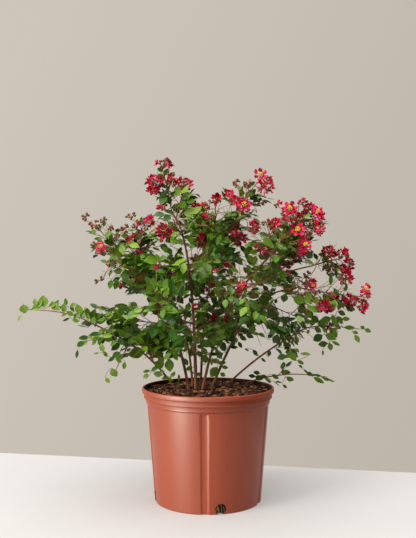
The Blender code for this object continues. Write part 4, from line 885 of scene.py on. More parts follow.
def seen(x, y, depth):
    """The point at a depth behind a place in the photo's frame."""
    scale = (depth - VIEW.y) / PHOTO_FOCUS
    return Vector(((x - PHOTO_MIDDLE[0]) * scale, depth, VIEW.z - (y - PHOTO_MIDDLE[1]) * scale))


def in_photo(point):
    """Where a point shows in the photo's frame."""
    scale = PHOTO_FOCUS / (point.y - VIEW.y)
    return PHOTO_MIDDLE[0] + point.x * scale, PHOTO_MIDDLE[1] + (VIEW.z - point.z) * scale


class Sight:
    """What has to stay open or in view from the photo's side: the gaps, the limbs and the flower heads."""

    def __init__(self, grown):
        self.gaps = np.array(GAPS, float)
        self.heads = np.zeros((0, 5))
        spots, self.depths, self.bare = [], [], []
        for limb, path in grown.values():
            for a, b in zip(path, path[1:]):
                for point in (a, a.lerp(b, 0.5)):
                    spots.append((*in_photo(point), 0.0))
                    self.depths.append(point.y)
                    self.bare.append(limb.name == "stem_leader" or point.z < BARE_BELOW)
        self.tree = kdtree.KDTree(len(spots))
        for i, spot in enumerate(spots):
            self.tree.insert(spot, i)
        self.tree.balance()

    def keep_head(self, x, y, wide, tall, depth):
        """From now on nothing grows before this oval of the photo's frame."""
        self.heads = np.vstack([self.heads, (x, y, wide, tall, depth)])

    def in_gap(self, point):
        x, y = in_photo(point)
        gaps = self.gaps
        return bool((((x - gaps[:, 0]) / gaps[:, 2]) ** 2 + ((y - gaps[:, 1]) / gaps[:, 3]) ** 2 < 1).any())

    def hides(self, points, upper_limbs):
        """Whether one of these points fills a gap, or stands before a flower head or a limb."""
        for point in points:
            if self.in_gap(point):
                return True
            x, y = in_photo(point)
            heads = self.heads
            inside = ((x - heads[:, 0]) / heads[:, 2]) ** 2 + ((y - heads[:, 1]) / heads[:, 3]) ** 2 < 1
            if (inside & (heads[:, 4] > point.y)).any():
                return True
            _, index, away = self.tree.find((x, y, 0.0))
            before = away < LIMB_SIGHT and point.y < self.depths[index] - BEFORE_LIMB
            if before and (upper_limbs or self.bare[index]):
                return True
        return False


class Room:
    """What is already taken: small cells of space, the limbs and the pot."""

    def __init__(self, limbs):
        self.taken = set()
        points = [(p, r) for path, radii in limbs for p, r in zip(path, radii)]
        self.radii = [r for _, r in points]
        self.tree = kdtree.KDTree(len(points))
        for i, (p, _) in enumerate(points):
            self.tree.insert(p, i)
        self.tree.balance()

    @staticmethod
    def key(point):
        """The cell a point lies in."""
        return tuple(int(c // CROWD_CELL) for c in point)

    def take(self, points):
        self.taken.update(map(self.key, points))

    def free(self, points):
        """Whether these points lie in no taken cell, off the limbs and outside the pot."""
        for point in points:
            if self.key(point) in self.taken:
                return False
            out = math.hypot(point.x, point.y)
            if out < LIP_RADIUS + POT_CLEARANCE and point.z < POT_HEIGHT + POT_CLEARANCE:
                return False
            _, index, away = self.tree.find(point)
            if away < self.radii[index] + LIMB_CLEARANCE:
                return False
        return True

    def take_ball(self, centre, radius):
        """Takes the cells within a radius."""
        steps = range(-math.ceil(radius / CROWD_CELL), math.ceil(radius / CROWD_CELL) + 1)
        for x in steps:
            for y in steps:
                for z in steps:
                    out = Vector((x, y, z)) * CROWD_CELL
                    if out.length < radius:
                        self.taken.add(self.key(centre + out))


def is_hind(mass):
    """Whether a mass is on the side the photo doesn't show."""
    return mass.tip[1] > HIND_DEPTH


def facing(point, rng, frontal):
    """The way a spray looks: up, away from the crown's middle, and to the front or, behind, to the back."""
    out = (point - CROWN_CENTRE).normalized()
    side = Vector((0, math.copysign(1.0, point.y - CROWN_CENTRE.y), 0))
    sway = Vector([rng.uniform(-1, 1) for _ in range(3)])
    up = Vector((0, 0, LOOK_UP * (1 - frontal)))
    return (up + out * LOOK_OUT + side * frontal + sway * LOOK_SWAY).normalized()


def dice(*words):
    """Random draws of its own for whatever the words name, so that a change to one leaves the rest alone."""
    return random.Random(" ".join(str(word) for word in (SEED, *words)))


# What the leaves of a spray share: their size beside a usual one's, their tone and habit, and its dice.
Spray = namedtuple("Spray", "leaf tone habit rng")


class Crown:
    """Grows twigs, leaves, flowers and buds from the limbs, and gathers them in batches."""

    def __init__(self, grown, shades):
        self.grown = grown
        limbs = [(path, limb_radii(limb, path)) for limb, path in grown.values()]
        self.room = Room(limbs)
        self.sight = Sight(grown)
        self.twigs = Batch("twigs", [shades[n] for n in TWIG_TONES])
        self.leaves = Batch("leaves", [shades[n] for n in LEAF_TONES])
        self.petals = Batch("petals", [shades[n] for n in PETAL_TONES])
        self.stamens = Batch("stamens", [shades["stamen"]])
        self.buds = Batch("buds", [shades[n] for n in BUD_TONES], smooth=False)
        rng = random.Random(SEED)
        self.leaf_forms = [leaf_template(rng) for _ in range(LEAF_FORMS)]
        self.open_forms = [flower_template(rng, cup, OPEN_STAMENS) for cup in OPEN_CUPS]
        self.crumpled_forms = [flower_template(rng, cup, CRUMPLED_STAMENS) for cup in CRUMPLED_CUPS]
        self.bud_form = bud_template()
        self.spines = {}
        self.head_places = []
        self.count = {"leaves": 0, "flowers": 0, "buds": 0}

    def grow_spine(self, mass):
        """A mass's own stem, from its limb's axis or tip to its far end."""
        parent = self.grown[mass.parent][1]
        start = at_share(parent, mass.share)[0]
        self.spines[mass.name] = limb_curve(start, mass.tip, mass.arch, SPINE_POINTS, mass.lift)

    def add_tube(self, path, first, last, tone, sides):
        """A twig or a stalk that tapers from its first radius to its last."""
        points, tris = tube(path, np.linspace(first, last, len(path)), sides)
        self.twigs.add([tuple(p) for p in points], tris, list(TWIG_TONES).index(tone))

    # Twigs and leaves

    def grow_mass(self, mass):
        """A mass's own stem with its twigs and leaves. Under blossom its upper part stays bare."""
        rng = dice(mass.name)
        habit = HABITS.get(mass.name, USUAL_HABIT)
        spine = self.spines[mass.name]
        if mass.blossoms:
            habit = habit._replace(ceiling=spine[-1].z - BARE_UNDER_TIP)
        self.add_tube(spine, SPINE_RADIUS, SPINE_TIP_RADIUS, "twig_brown", 6)
        count = round(mass.twigs * TWIG_SHARE_OF_SOURCE * habit.twigs)
        turn = rng.uniform(0, math.tau)
        last = LAST_TWIG_UNDER_BLOSSOM if mass.blossoms else LAST_TWIG
        weights = LEAF_WEIGHTS.get(mass.name, USUAL_LEAF_WEIGHTS)
        for i in range(count):
            share, around = FIRST_TWIG + (last - FIRST_TWIG) * (i + 0.5) / count, turn + i * GOLDEN_ANGLE
            spray = Spray(mass.leaf, pick(rng, weights), habit, rng)
            self.grow_twig(spine, share, around, mass.spread, 1.0, spray)
        if not count:
            return
        spray = Spray(mass.leaf, pick(rng, weights), habit, rng)
        plane = facing(spine[SPINE_POINTS // 2], rng, habit.frontal)
        self.leafy(spine[:-3] if mass.blossoms else spine, plane, LEAF_SPACING, spray, mass.blossoms == 0)

    def grow_limb_twigs(self, limb, path):
        """Short leafy twigs along a bough, and along a stem above its bare foot."""
        rng = dice(limb.name)
        first = BOUGH_BARE_SHARE if limb.parent else STEM_BARE_SHARE
        count = int(path_length(path) * (1 - first) / LIMB_TWIG_SPACING)
        turn = rng.uniform(0, math.tau)
        for i in range(count):
            share, around = first + (1 - first) * (i + 0.5) / count, turn + i * GOLDEN_ANGLE
            spray = Spray(LIMB_TWIG_VIGOUR, pick(rng, USUAL_LEAF_WEIGHTS), USUAL_HABIT, rng)
            self.grow_twig(path, share, around, LIMB_TWIG_SPREAD, LIMB_TWIG_VIGOUR, spray)

    def grow_twig(self, parent, share, turn, spread, vigour, spray):
        """A twig that leaves its parent at a share of it, with its leaves and finer twigs. vigour is its size
        beside a full one's."""
        rng = spray.rng
        point, along = at_share(parent, share)
        for _ in range(TWIG_TRIES):
            out = sideways(along, turn + rng.uniform(*TWIG_SWAY))
            lean = math.radians(rng.uniform(*TWIG_LEAN_DEG))
            heading = along * math.cos(lean) + out * math.sin(lean) + Vector((0, 0, rng.uniform(*TWIG_RISE)))
            heading.normalize()
            fullness = 1.05 - 0.7 * abs(share - FULLEST_AT)
            length = (spread * fullness + REACH_BEYOND_TWIG) * rng.uniform(*TWIG_LENGTH) * vigour
            end = point + heading * length + Vector((0, 0, -TWIG_DROOP * length))
            bend = point + heading * length * 0.5 + along * length * TWIG_BOW
            path = bowed(point, bend, end, QUARTERS)
            if self.room.free(path[2:]) and not self.sight.in_gap(end) and not self.sight.in_gap(path[3]):
                break
        else:
            return
        green = spray.tone in FRESH_TONES or rng.random() < GREEN_TWIGS
        bark = "twig_green" if green else "twig_brown"
        self.add_tube(path, TWIG_RADIUS * vigour, TWIG_TIP_RADIUS, bark, 4)
        if vigour == 1.0 and length > FORKS_FROM_LENGTH:
            for k, part in enumerate(FORKS_AT):
                side = turn + (1 if k else -1) * math.pi / 2
                self.grow_twig(path, part, side, spread, FORK_VIGOUR, spray)
        plane = facing(path[2], rng, spray.habit.frontal)
        self.leafy(path, plane, LEAF_SPACING * 0.7, spray, True)

    def leafy(self, path, plane, first, spray, tipped):
        """Two ranks of leaves along a twig from a first length on, and one at its tip."""
        rng, size = spray.rng, spray.leaf
        length = path_length(path)
        place, side = first, rng.choice((-1, 1))
        while place < length - 0.003:
            point, along = at_length(path, place)
            grown = size * (0.80 + 0.30 * math.sin(math.pi * min(1.0, place / length + 0.15)))
            for _ in range(LEAF_TRIES):
                swing, leaf = side * rng.uniform(*SIDE_LEAF_SWING), grown * rng.uniform(*SIDE_LEAF_SIZE)
                if self.add_leaf(point, along, plane, swing, leaf, spray):
                    break
            place += LEAF_SPACING * size * rng.uniform(*SIDE_LEAF_STEP)
            side = -side
        if tipped:
            point, along = at_length(path, length - 0.0005)
            for _ in range(LEAF_TRIES):
                swing, leaf = rng.uniform(*TIP_LEAF_SWING), size * rng.uniform(*TIP_LEAF_SIZE)
                if self.add_leaf(point, along, plane, swing, leaf, spray):
                    break

    def add_leaf(self, point, along, plane, swing, size, spray):
        """Adds a leaf where it has room and hides nothing. Says whether it did."""
        rng, habit = spray.rng, spray.habit
        up = (plane - along * plane.dot(along)).normalized()
        heading = Quaternion(up, swing) @ along
        rise = rng.uniform(*(LEAF_RISE_TURNED_UP if rng.random() < habit.up else LEAF_RISE))
        heading = (heading + Vector((0, 0, rise))).normalized()
        up = Quaternion(heading, rng.uniform(*LEAF_ROLL)) @ up
        length = LEAF_LENGTH * size
        matrix = frame_matrix(point, heading, up, length)
        across = heading.cross(up).normalized() * length * LEAF_ROOM_ACROSS
        tested = [point + heading * length * t for t in LEAF_ROOM_AT]
        tested += [tested[0] + across, tested[0] - across, tested[1] + across, tested[1] - across]
        upper_limbs = rng.random() < UPPER_LIMBS_SEEN
        if tested[2].z > habit.ceiling or not self.room.free(tested):
            return False
        if habit.shy and self.sight.hides(tested, upper_limbs):
            return False
        self.room.take(tested)
        verts, tris = rng.choice(self.leaf_forms)
        self.leaves.add(placed(verts, matrix), tris, spray.tone)
        self.count["leaves"] += 1
        return True

    def grow_sprig(self, sprig):
        """A leafy twig that starts low on a limb."""
        rng = dice(sprig.limb, sprig.x, sprig.y)
        parent = self.grown[sprig.limb][1] if sprig.limb in self.grown else self.spines[sprig.limb]
        start = at_share(parent, sprig.share)[0]
        end = seen(sprig.x, sprig.y, sprig.depth)
        end -= (end - start).normalized() * LEAF_LENGTH * sprig.leaf * 0.45
        bend = start + (end - start) * 0.5 + Vector((0, 0, sprig.arch * (end - start).length))
        path = bowed(start, bend, end, QUARTERS)
        self.add_tube(path, TWIG_RADIUS, TWIG_TIP_RADIUS, "twig_green", 4)
        plane = facing(end, rng, SPRIG_HABIT.frontal)
        spray = Spray(sprig.leaf, leaf_tone(sprig.tone), SPRIG_HABIT, rng)
        self.leafy(path, plane, path_length(path) * sprig.bare, spray, True)

    def grow_shown_leaves(self):
        """The leaves the photo shows by themselves, each on a twig from the wood that is nearest to it."""
        rng = dice("shown leaves")
        paths = [path[::2] for _, path in self.grown.values()] + list(self.spines.values())
        wood = [point for path in paths for point in path]
        shown = [(*in_photo(point), point.y) for point in wood]
        waiting = []
        for leaf in SHOWN_LEAVES:
            near = []
            for x, y, depth in shown:
                penalty = HIND_PENALTY if depth > HIND_DEPTH else 0
                near.append((math.hypot(x - leaf.x, y - leaf.y) + penalty, depth))
            depth = min(near)[1] - SHOWN_LEAF_FORWARD
            length = leaf.long * (depth - VIEW.y) / PHOTO_FOCUS
            turn = math.radians(leaf.turn)
            heading = Vector((math.cos(turn), rng.uniform(-0.25, 0.10), math.sin(turn))).normalized()
            foot = seen(leaf.x, leaf.y, depth) - heading * length * LEAF_MIDDLE
            waiting.append((foot, heading, length, depth, leaf))
        wood = np.array([tuple(point) for point in wood])
        while waiting:
            gaps = [np.linalg.norm(wood - np.array(item[0]), axis=1) for item in waiting]
            chosen = min(range(len(waiting)), key=lambda i: gaps[i].min())
            start = Vector(wood[gaps[chosen].argmin()])
            foot, heading, length, depth, leaf = waiting.pop(chosen)
            if (foot - start).length > 0.002:
                bend = start.lerp(foot, 0.6) - heading * (foot - start).length * 0.15
                path = bowed(start, bend, foot, QUARTERS)
                self.add_tube(path, LEAF_TWIG_RADIUS, TWIG_TIP_RADIUS, "twig_green", 4)
                wood = np.vstack([wood, np.array([tuple(point) for point in path[1:]])])
            face = Vector((rng.uniform(0.0, 0.5), -1.0, rng.uniform(-0.3, 0.2)))
            if leaf.tone not in ("deep", "cool"):
                face = Vector((rng.uniform(-0.4, 0.1), -1.0, rng.uniform(0.1, 0.6)))
            verts, tris = rng.choice(self.leaf_forms)
            matrix = frame_matrix(foot, heading, face, length)
            self.leaves.add(placed(verts * (leaf.broad, 1.0, 1.0), matrix), tris, leaf_tone(leaf.tone))
            self.room.take([foot + heading * length * t for t in (0.3, 0.5, 0.7, 1.0)])
            self.sight.keep_head(leaf.x, leaf.y, leaf.long * 0.4, leaf.long * 0.4, depth)
            self.count["leaves"] += 1

    # Flowers

    def add_bud(self, place, way, radius, rng):
        """A bud that looks one way, its blunt tip often redder than its calyx or a pale salmon, which is a
        painted highlight.
        """
        verts, tris = self.bud_form
        matrix = Matrix.Translation(place) @ way.to_track_quat("Z", "Y").to_matrix().to_4x4()
        calyx = pick(rng, CALYX_WEIGHTS)
        tip = (calyx, 2, 3)[pick(rng, BUD_TIP_WEIGHTS)]
        shade = np.full(len(tris), calyx)
        shade[-6:] = tip
        self.buds.add(placed(verts * radius, matrix), tris, shade)
        self.count["buds"] += 1

    def add_flower(self, place, way, radius, form, tone, rng):
        """A flower that looks one way, each petal of a tone drawn by the head's, on a calyx."""
        petals, tuft, anthers = form
        turn = Matrix.Rotation(rng.uniform(0, math.tau), 4, "Z")
        matrix = Matrix.Translation(place) @ way.to_track_quat("Z", "Y").to_matrix().to_4x4() @ turn
        for blade, tris in petals:
            self.petals.add(placed(blade * radius, matrix), tris, pick(rng, PETAL_WEIGHTS[tone]))
        self.stamens.add(placed(tuft * radius, matrix), anthers, 0)
        verts, faces = self.bud_form
        below = matrix @ Matrix.Translation((0, 0, -0.0015))
        self.buds.add(placed(verts * BUD_RADIUS * 0.8, below), faces, 0)
        self.count["flowers"] += 1

    def grow_panicle(self, centre, foot, along, wide, tall, opened, buds, tone, rng):
        """A stalk, side stalks round its upper part, and on their ends flowers and threes of buds."""
        axis = centre - foot
        axis = (axis.normalized() + Vector((0, 0, 0.8))).normalized() if axis.length > 0.01 else along
        top, low = centre + axis * tall * 0.75, centre - axis * tall * 0.85
        bend = foot + along * (low - foot).length * 0.5
        stalk = bowed(foot, bend, low, QUARTERS[:-1]) + [low.lerp(top, t) for t in (0, 0.33, 0.66, 1)]
        self.add_tube(stalk, STALK_RADIUS, PEDICEL_RADIUS, "pedicel", 4)
        kinds = ["open"] * opened + ["buds"] * math.ceil(buds / 3)
        ends = []
        for i in range(len(kinds)):
            height = 1 - 2 * (i + 0.5) / len(kinds)
            ends.append(Vector(polar(math.sqrt(1 - height * height), i * GOLDEN_ANGLE, height)))
        rng.shuffle(ends)
        for kind, out in zip(kinds, ends):
            radius = FLOWER_RADIUS * rng.uniform(*CRUMPLED_SIZE) if kind == "open" else 2 * BUD_RADIUS
            reach = rng.uniform(*HEAD_REACH)
            inner_wide, inner_tall = (max(0.2 * half, half - 0.6 * radius) for half in (wide, tall))
            place = centre + Vector((out.x * inner_wide, out.y * inner_wide, out.z * inner_tall)) * reach
            run = max(0.0, min((top - low).length, (place - low).dot(axis) - 0.005))
            root = low + axis * run
            way = (out + axis * 0.35).normalized()
            sag = root.lerp(place, 0.55) - axis * 0.001
            self.add_tube([root, sag, place], PEDICEL_RADIUS, PEDICEL_TIP_RADIUS, "pedicel", 3)
            if kind == "open":
                self.add_flower(place, way, radius, rng.choice(self.crumpled_forms), tone, rng)
            else:
                self.add_three_buds(place, way, rng)
            self.room.take_ball(place, BUDS_ROOM if kind == "buds" else FLOWER_ROOM)

    def add_three_buds(self, place, way, rng):
        """Three buds on short stalks from one place."""
        turn = rng.uniform(0, math.tau)
        for k in range(3):
            side = sideways(way, turn + k * math.tau / 3)
            spot = place + side * 0.0034 + way * rng.uniform(0.0, 0.004)
            self.add_tube([place - way * 0.003, spot], PEDICEL_TIP_RADIUS, PEDICEL_TIP_RADIUS, "pedicel", 3)
            self.add_bud(spot, (way + side * 0.5).normalized(), BUD_RADIUS * rng.uniform(*BUD_SIZE), rng)

    def stem_behind(self, x, y):
        """The mass's stem that shows nearest to a place in the photo's frame, and which of its points."""
        best = (1e9, None, 0)
        for mass in MASSES:
            penalty = (HIND_PENALTY if is_hind(mass) else 0) + (0.0 if mass.blossoms else FLOWERLESS_PENALTY)
            for i in range(3, SPINE_POINTS):
                px, py = in_photo(self.spines[mass.name][i])
                best = min(best, (math.hypot(px - x, py - y) + penalty, mass.name, i))
        return self.spines[best[1]], best[2]

    def grow_head(self, head):
        """A flower head the photo shows, on the nearest mass's stem."""
        rng = dice(head.x, head.y)
        spine, near = self.stem_behind(head.x, head.y)
        depth = spine[near].y - HEAD_FORWARD
        centre = seen(head.x, head.y + 1.2, depth)
        scale = (depth - VIEW.y) / PHOTO_FOCUS
        foot = spine[max(1, near - 2)]
        along = (spine[near] - spine[near - 1]).normalized()
        wide, tall = head.wide * scale, head.tall * scale
        self.grow_panicle(centre, foot, along, wide, tall, head.open, head.buds, head.tone, rng)
        self.sight.keep_head(head.x, head.y, head.wide + HEAD_MARGIN, head.tall + HEAD_MARGIN, depth)
        self.head_places.append((head.x, head.y, depth - wide * 0.7, centre))

    def grow_faced(self, x, y, radius):
        """An open flower that shows its yellow middle, in front of the nearest head."""
        rng = dice(x, y)
        _, _, depth, centre = min(self.head_places, key=lambda p: math.hypot(p[0] - x, p[1] - y))
        place = seen(x, y, depth - FACED_FORWARD)
        way = Vector((rng.uniform(-0.25, 0.25), -1.0, 0.35)).normalized()
        self.add_tube([centre, place - way * 0.001], PEDICEL_RADIUS, PEDICEL_TIP_RADIUS, "pedicel", 3)
        size = radius * (place.y - VIEW.y) / PHOTO_FOCUS
        # Its petals take the bright tones, partly painted light.
        self.add_flower(place, way, size, rng.choice(self.open_forms), "bright", rng)
        self.sight.keep_head(x, y, radius, radius, depth)
        self.room.take_ball(place, size * 0.7)

    def grow_hind_heads(self, mass):
        """Flower heads of a mass on the side the photo doesn't show."""
        rng = dice("heads", mass.name)
        spine = self.spines[mass.name]
        for k in range(2 + mass.blossoms):
            near = SPINE_POINTS - 1 - 2 * k
            along = (spine[near] - spine[near - 1]).normalized()
            out = (sideways(along, k * GOLDEN_ANGLE) * 0.6 + Vector((0, 0.8, -0.4))).normalized()
            centre = spine[near] + out * rng.uniform(*HIND_HEAD_AWAY)
            tone = rng.choice(list(PETAL_WEIGHTS))
            wide, tall = rng.uniform(*HIND_HEAD_WIDE), rng.uniform(*HIND_HEAD_TALL)
            opened, buds = rng.randint(3, 7), rng.randint(5, 9)
            self.grow_panicle(centre, spine[near - 1], along, wide, tall, opened, buds, tone, rng)


# Pot and potting mix


def wall_radius(height):
    """The outside radius of the pot's tapered wall."""
    share = height / (POT_HEIGHT - LOWER_COLLAR_DEPTH)
    return BASE_RADIUS + (BODY_TOP_RADIUS - BASE_RADIUS) * share


def arc(centre, radius, first_deg, last_deg, steps):
    """Points of a rounded corner in the pot's section."""
    found = []
    for i in range(steps + 1):
        a = math.radians(first_deg + (last_deg - first_deg) * i / steps)
        found.append((centre[0] + radius * math.cos(a), centre[1] + radius * math.sin(a)))
    return found


def pot_profile():
    """The section from the floor's middle inside, up, over the rolled lip and down outside."""
    shoulder, step, under_lip = (POT_HEIGHT - d for d in (LOWER_COLLAR_DEPTH, COLLAR_DEPTH, LIP_DEPTH))
    inside = [(0.0, WALL), (wall_radius(WALL) - WALL - 0.004, WALL), (wall_radius(0.006) - WALL, 0.006)]
    inside += [(BODY_TOP_RADIUS - WALL, shoulder), (LOWER_COLLAR_RADIUS - WALL, shoulder + 0.002)]
    inside += [(LOWER_COLLAR_RADIUS - WALL, step), (COLLAR_RADIUS - WALL, step + 0.002)]
    inside += [(COLLAR_RADIUS - WALL, under_lip), (LIP_RADIUS - 0.0046, under_lip + 0.003)]
    lip = arc((LIP_RADIUS - 0.0031, POT_HEIGHT - 0.0014), 0.0014, 180, 90, 4)
    lip += arc((LIP_RADIUS - 0.0022, POT_HEIGHT - 0.0022), 0.0022, 90, 0, 5)
    lip += arc((LIP_RADIUS - 0.0016, under_lip + 0.0018), 0.0016, 0, -75, 4)
    bands = ((0.0004, -0.0092), (0.0004, -0.0102), (-0.0003, -0.0110))
    turns = (
        (COLLAR_RADIUS, under_lip, ((0.0004, -0.0003), (0.0, -0.0015), (-0.0002, -0.0085), *bands)),
        (COLLAR_RADIUS, step, ((-0.0010, 0.0025), (-0.0016, 0.0008))),
        (LOWER_COLLAR_RADIUS, step, ((0.0004, 0.0003), (0.0001, -0.0010))),
        (LOWER_COLLAR_RADIUS, shoulder, ((-0.0002, 0.0012), (-0.0008, 0.0002))),
        (BODY_TOP_RADIUS, shoulder, ((0.0, -0.0008),)),
    )
    outside = [(radius + out, height + up) for radius, height, offsets in turns for out, up in offsets]
    return inside + lip + outside


def pot_angles():
    """Angles round the pot, closer together at the flutes' edges."""
    angles = [math.tau * i / POT_STEPS for i in range(POT_STEPS)]
    half, edge = FLUTE_WIDTH / 2 / BASE_RADIUS, FLUTE_EDGE / BASE_RADIUS
    offsets = [half + edge, half + edge / 2, half + edge / 4, half, half - edge / 4, half - edge / 2, 0.0]
    for k in range(FLUTES):
        middle = math.radians(FIRST_FLUTE_DEG + k * 360 / FLUTES) % math.tau
        angles = [a for a in angles if abs((a - middle + math.pi) % math.tau - math.pi) > half + 1.5 * edge]
        for off in offsets:
            angles += [(middle - off) % math.tau, (middle + off) % math.tau]
    return sorted(set(angles))


def flute_depth(angle, height):
    """How far the wall is set back at an angle: full inside a flute, nothing outside it."""
    top = POT_HEIGHT - LOWER_COLLAR_DEPTH - FLUTE_TOP_GAP
    if height > top:
        return 0.0
    half, edge = FLUTE_WIDTH / 2 / BASE_RADIUS, FLUTE_EDGE / BASE_RADIUS
    for k in range(FLUTES):
        middle = math.radians(FIRST_FLUTE_DEG + k * 360 / FLUTES)
        off = abs((angle - middle + math.pi) % math.tau - math.pi)
        if off < half + edge:
            sunk = min(1.0, max(0.0, (half + edge / 2 - off) / edge))
            return FLUTE_DEPTH * sunk * min(1.0, (top - height) / 0.0012)
    return 0.0


def pot_mesh(shade, painted_shade_inside, lip_shade):
    """The pot's wall with its bands and flutes, and its drain holes cut through."""
    profile = pot_profile()
    top = POT_HEIGHT - LOWER_COLLAR_DEPTH
    heights = [top - FLUTE_TOP_GAP, top - FLUTE_TOP_GAP - 0.0012]
    heights += [top * (1 - i / 24) for i in range(2, 24)] + [0.003, 0.0015]
    profile += [(wall_radius(z), z) for z in heights]
    profile += [(BASE_RADIUS - 0.0002, 0.0006), (BASE_RADIUS - 0.0012, 0.0), (0.0, 0.0)]
    angles = pot_angles()
    solid = bmesh.new()
    rings = []
    first_fluted = len(profile) - len(heights) - 3
    for i, (radius, z) in enumerate(profile):
        if radius == 0.0:
            rings.append([solid.verts.new((0, 0, z))])
            continue
        ring = []
        for a in angles:
            r = radius - (flute_depth(a, z) if i >= first_fluted else 0.0)
            ring.append(solid.verts.new(polar(r, a + math.radians(-90), z)))
        rings.append(ring)
    for i, (low, high) in enumerate(zip(rings, rings[1:])):
        for j in range(len(angles)):
            k = (j + 1) % len(angles)
            if len(low) == 1:
                face = solid.faces.new((low[0], high[j], high[k]))
            elif len(high) == 1:
                face = solid.faces.new((low[j], high[0], low[k]))
            else:
                face = solid.faces.new((low[j], high[j], high[k], low[k]))
            # Faces inside the pot take the dark brown of painted shade.
            face.material_index = 1 if i < PAINTED_SHADE_RINGS else 2 if i < LIP_RINGS else 0
    bmesh.ops.recalc_face_normals(solid, faces=solid.faces)
    data = finished_mesh("pot_shell", solid)
    for part_shade in (shade, painted_shade_inside, lip_shade):
        data.materials.append(part_shade)
    made = put_in_scene("pot_shell", data)
    cut_drains(made)
    made.data.shade_smooth()
    made.data.set_sharp_from_angle(angle=math.radians(28))
    return made


def cut_drains(pot):
    """Four round holes that break through the pot's bottom edge."""
    solid = bmesh.new()
    for i in range(DRAINS):
        size = {"radius1": DRAIN_RADIUS, "radius2": DRAIN_RADIUS, "depth": 0.03}
        cut = bmesh.ops.create_cone(solid, cap_ends=True, segments=28, **size)["verts"]
        place = (
            Matrix.Rotation(math.radians(FIRST_DRAIN_DEG + i * 360 / DRAINS), 4, "Z")
            @ Matrix.Translation((0, -BASE_RADIUS, DRAIN_HEIGHT))
            @ Matrix.Rotation(math.pi / 2, 4, "X")
        )
        bmesh.ops.transform(solid, matrix=place, verts=cut)
    cutter = put_in_scene("drain_cutter", finished_mesh("drain_cutter", solid))
    modifier = pot.modifiers.new("Drains", "BOOLEAN")
    modifier.operation = "DIFFERENCE"
    modifier.object = cutter
    bpy.context.view_layer.update()
    graph = bpy.context.evaluated_depsgraph_get()
    pot.data = bpy.data.meshes.new_from_object(pot.evaluated_get(graph))
    pot.modifiers.clear()
    bpy.data.objects.remove(cutter)


def soil_height(x, y):
    """The potting mix's uneven top."""
    rough = noise.noise(Vector((x * 55, y * 55, 3.0))) * SOIL_LUMPS
    fine = noise.noise(Vector((x * 190, y * 190, 7.0))) * SOIL_GRAINS
    mound = SOIL_MOUND * math.exp(-((x / 0.05) ** 2) - ((y / 0.05) ** 2))
    return SOIL_LEVEL - 0.0010 + rough + fine + mound


def soil_mesh(shade):
    """The potting mix: a lumpy top, and a side that shows through the drain holes."""
    reach = LOWER_COLLAR_RADIUS + 0.8 * (COLLAR_RADIUS - LOWER_COLLAR_RADIUS) - WALL - 0.0012
    shoulder = POT_HEIGHT - LOWER_COLLAR_DEPTH
    turns = [math.tau * j / SOIL_SIDES for j in range(SOIL_SIDES)]
    points = [(0.0, 0.0, soil_height(0, 0))]
    for i in range(1, SOIL_RINGS + 1):
        for turn in turns:
            x, y, _ = polar(reach * i / SOIL_RINGS, turn, 0.0)
            points.append((x, y, soil_height(x, y)))
    points += [polar(BODY_TOP_RADIUS - WALL - 0.001, turn, shoulder - 0.001) for turn in turns]
    points += [polar(wall_radius(0.03) - WALL - 0.0006, turn, 0.03) for turn in turns]
    for i in range(SOIL_SIDE_RINGS):
        z = 0.027 - i * 0.0022
        for j, turn in enumerate(turns):
            r = wall_radius(z) - WALL - 0.0008 + 0.0007 * noise.noise(Vector((j * 0.9, z * 400, 1.0)))
            points.append(polar(r, turn, z))
    rows = SOIL_RINGS + 2 + SOIL_SIDE_RINGS
    tris = [(0, 1 + j, 1 + (j + 1) % SOIL_SIDES) for j in range(SOIL_SIDES)]
    tris += [(a + 1, c + 1, b + 1) for a, b, c in strips(rows, SOIL_SIDES, True)]
    foot, count = 1 + (rows - 1) * SOIL_SIDES, len(points)
    points.append((0.0, 0.0, 0.0028))
    tris += [(count, foot + (j + 1) % SOIL_SIDES, foot + j) for j in range(SOIL_SIDES)]
    batch = Batch("soil_bed", [shade])
    batch.add(points, tris, 0)
    return batch.build()


def chips_mesh(shades):
    """Bark chips and crumbs that lie on the potting mix."""
    rng = random.Random(SEED + 1)
    batch = Batch("bark_chips", shades, smooth=False)
    tris = [(0, 1, 2), (0, 2, 3), (4, 6, 5), (4, 7, 6)]
    for a, b in ((0, 1), (1, 2), (2, 3), (3, 0)):
        tris += [(a, a + 4, b + 4), (a, b + 4, b)]
    reach = COLLAR_RADIUS - WALL - 0.004
    for _ in range(CHIPS):
        x, y, _ = polar(reach * math.sqrt(rng.random()), rng.uniform(0, math.tau), 0.0)
        long = 0.0018 + 0.0075 * rng.random() ** 1.9
        size = Vector((long, long * rng.uniform(0.3, 0.7), long * rng.uniform(0.15, 0.4)))
        corners = []
        for z in (-0.5, 0.5):
            for cx, cy in ((-0.5, -0.5), (0.5, -0.5), (0.5, 0.5), (-0.5, 0.5)):
                jitter = Vector([rng.uniform(0.65, 1.15) for _ in range(3)])
                corner = Vector((cx * size.x, cy * size.y, z * size.z))
                corners.append(tuple(Vector([c * j for c, j in zip(corner, jitter)])))
        turn = Matrix.Rotation(rng.uniform(0, math.tau), 4, "Z")
        tilt = Matrix.Rotation(rng.uniform(-0.5, 0.5), 4, "X")
        place = Matrix.Translation((x, y, soil_height(x, y) + size.z * 0.35))
        batch.add(placed(corners, place @ (turn @ tilt)), tris, pick(rng, CHIP_WEIGHTS))
    return batch.build()


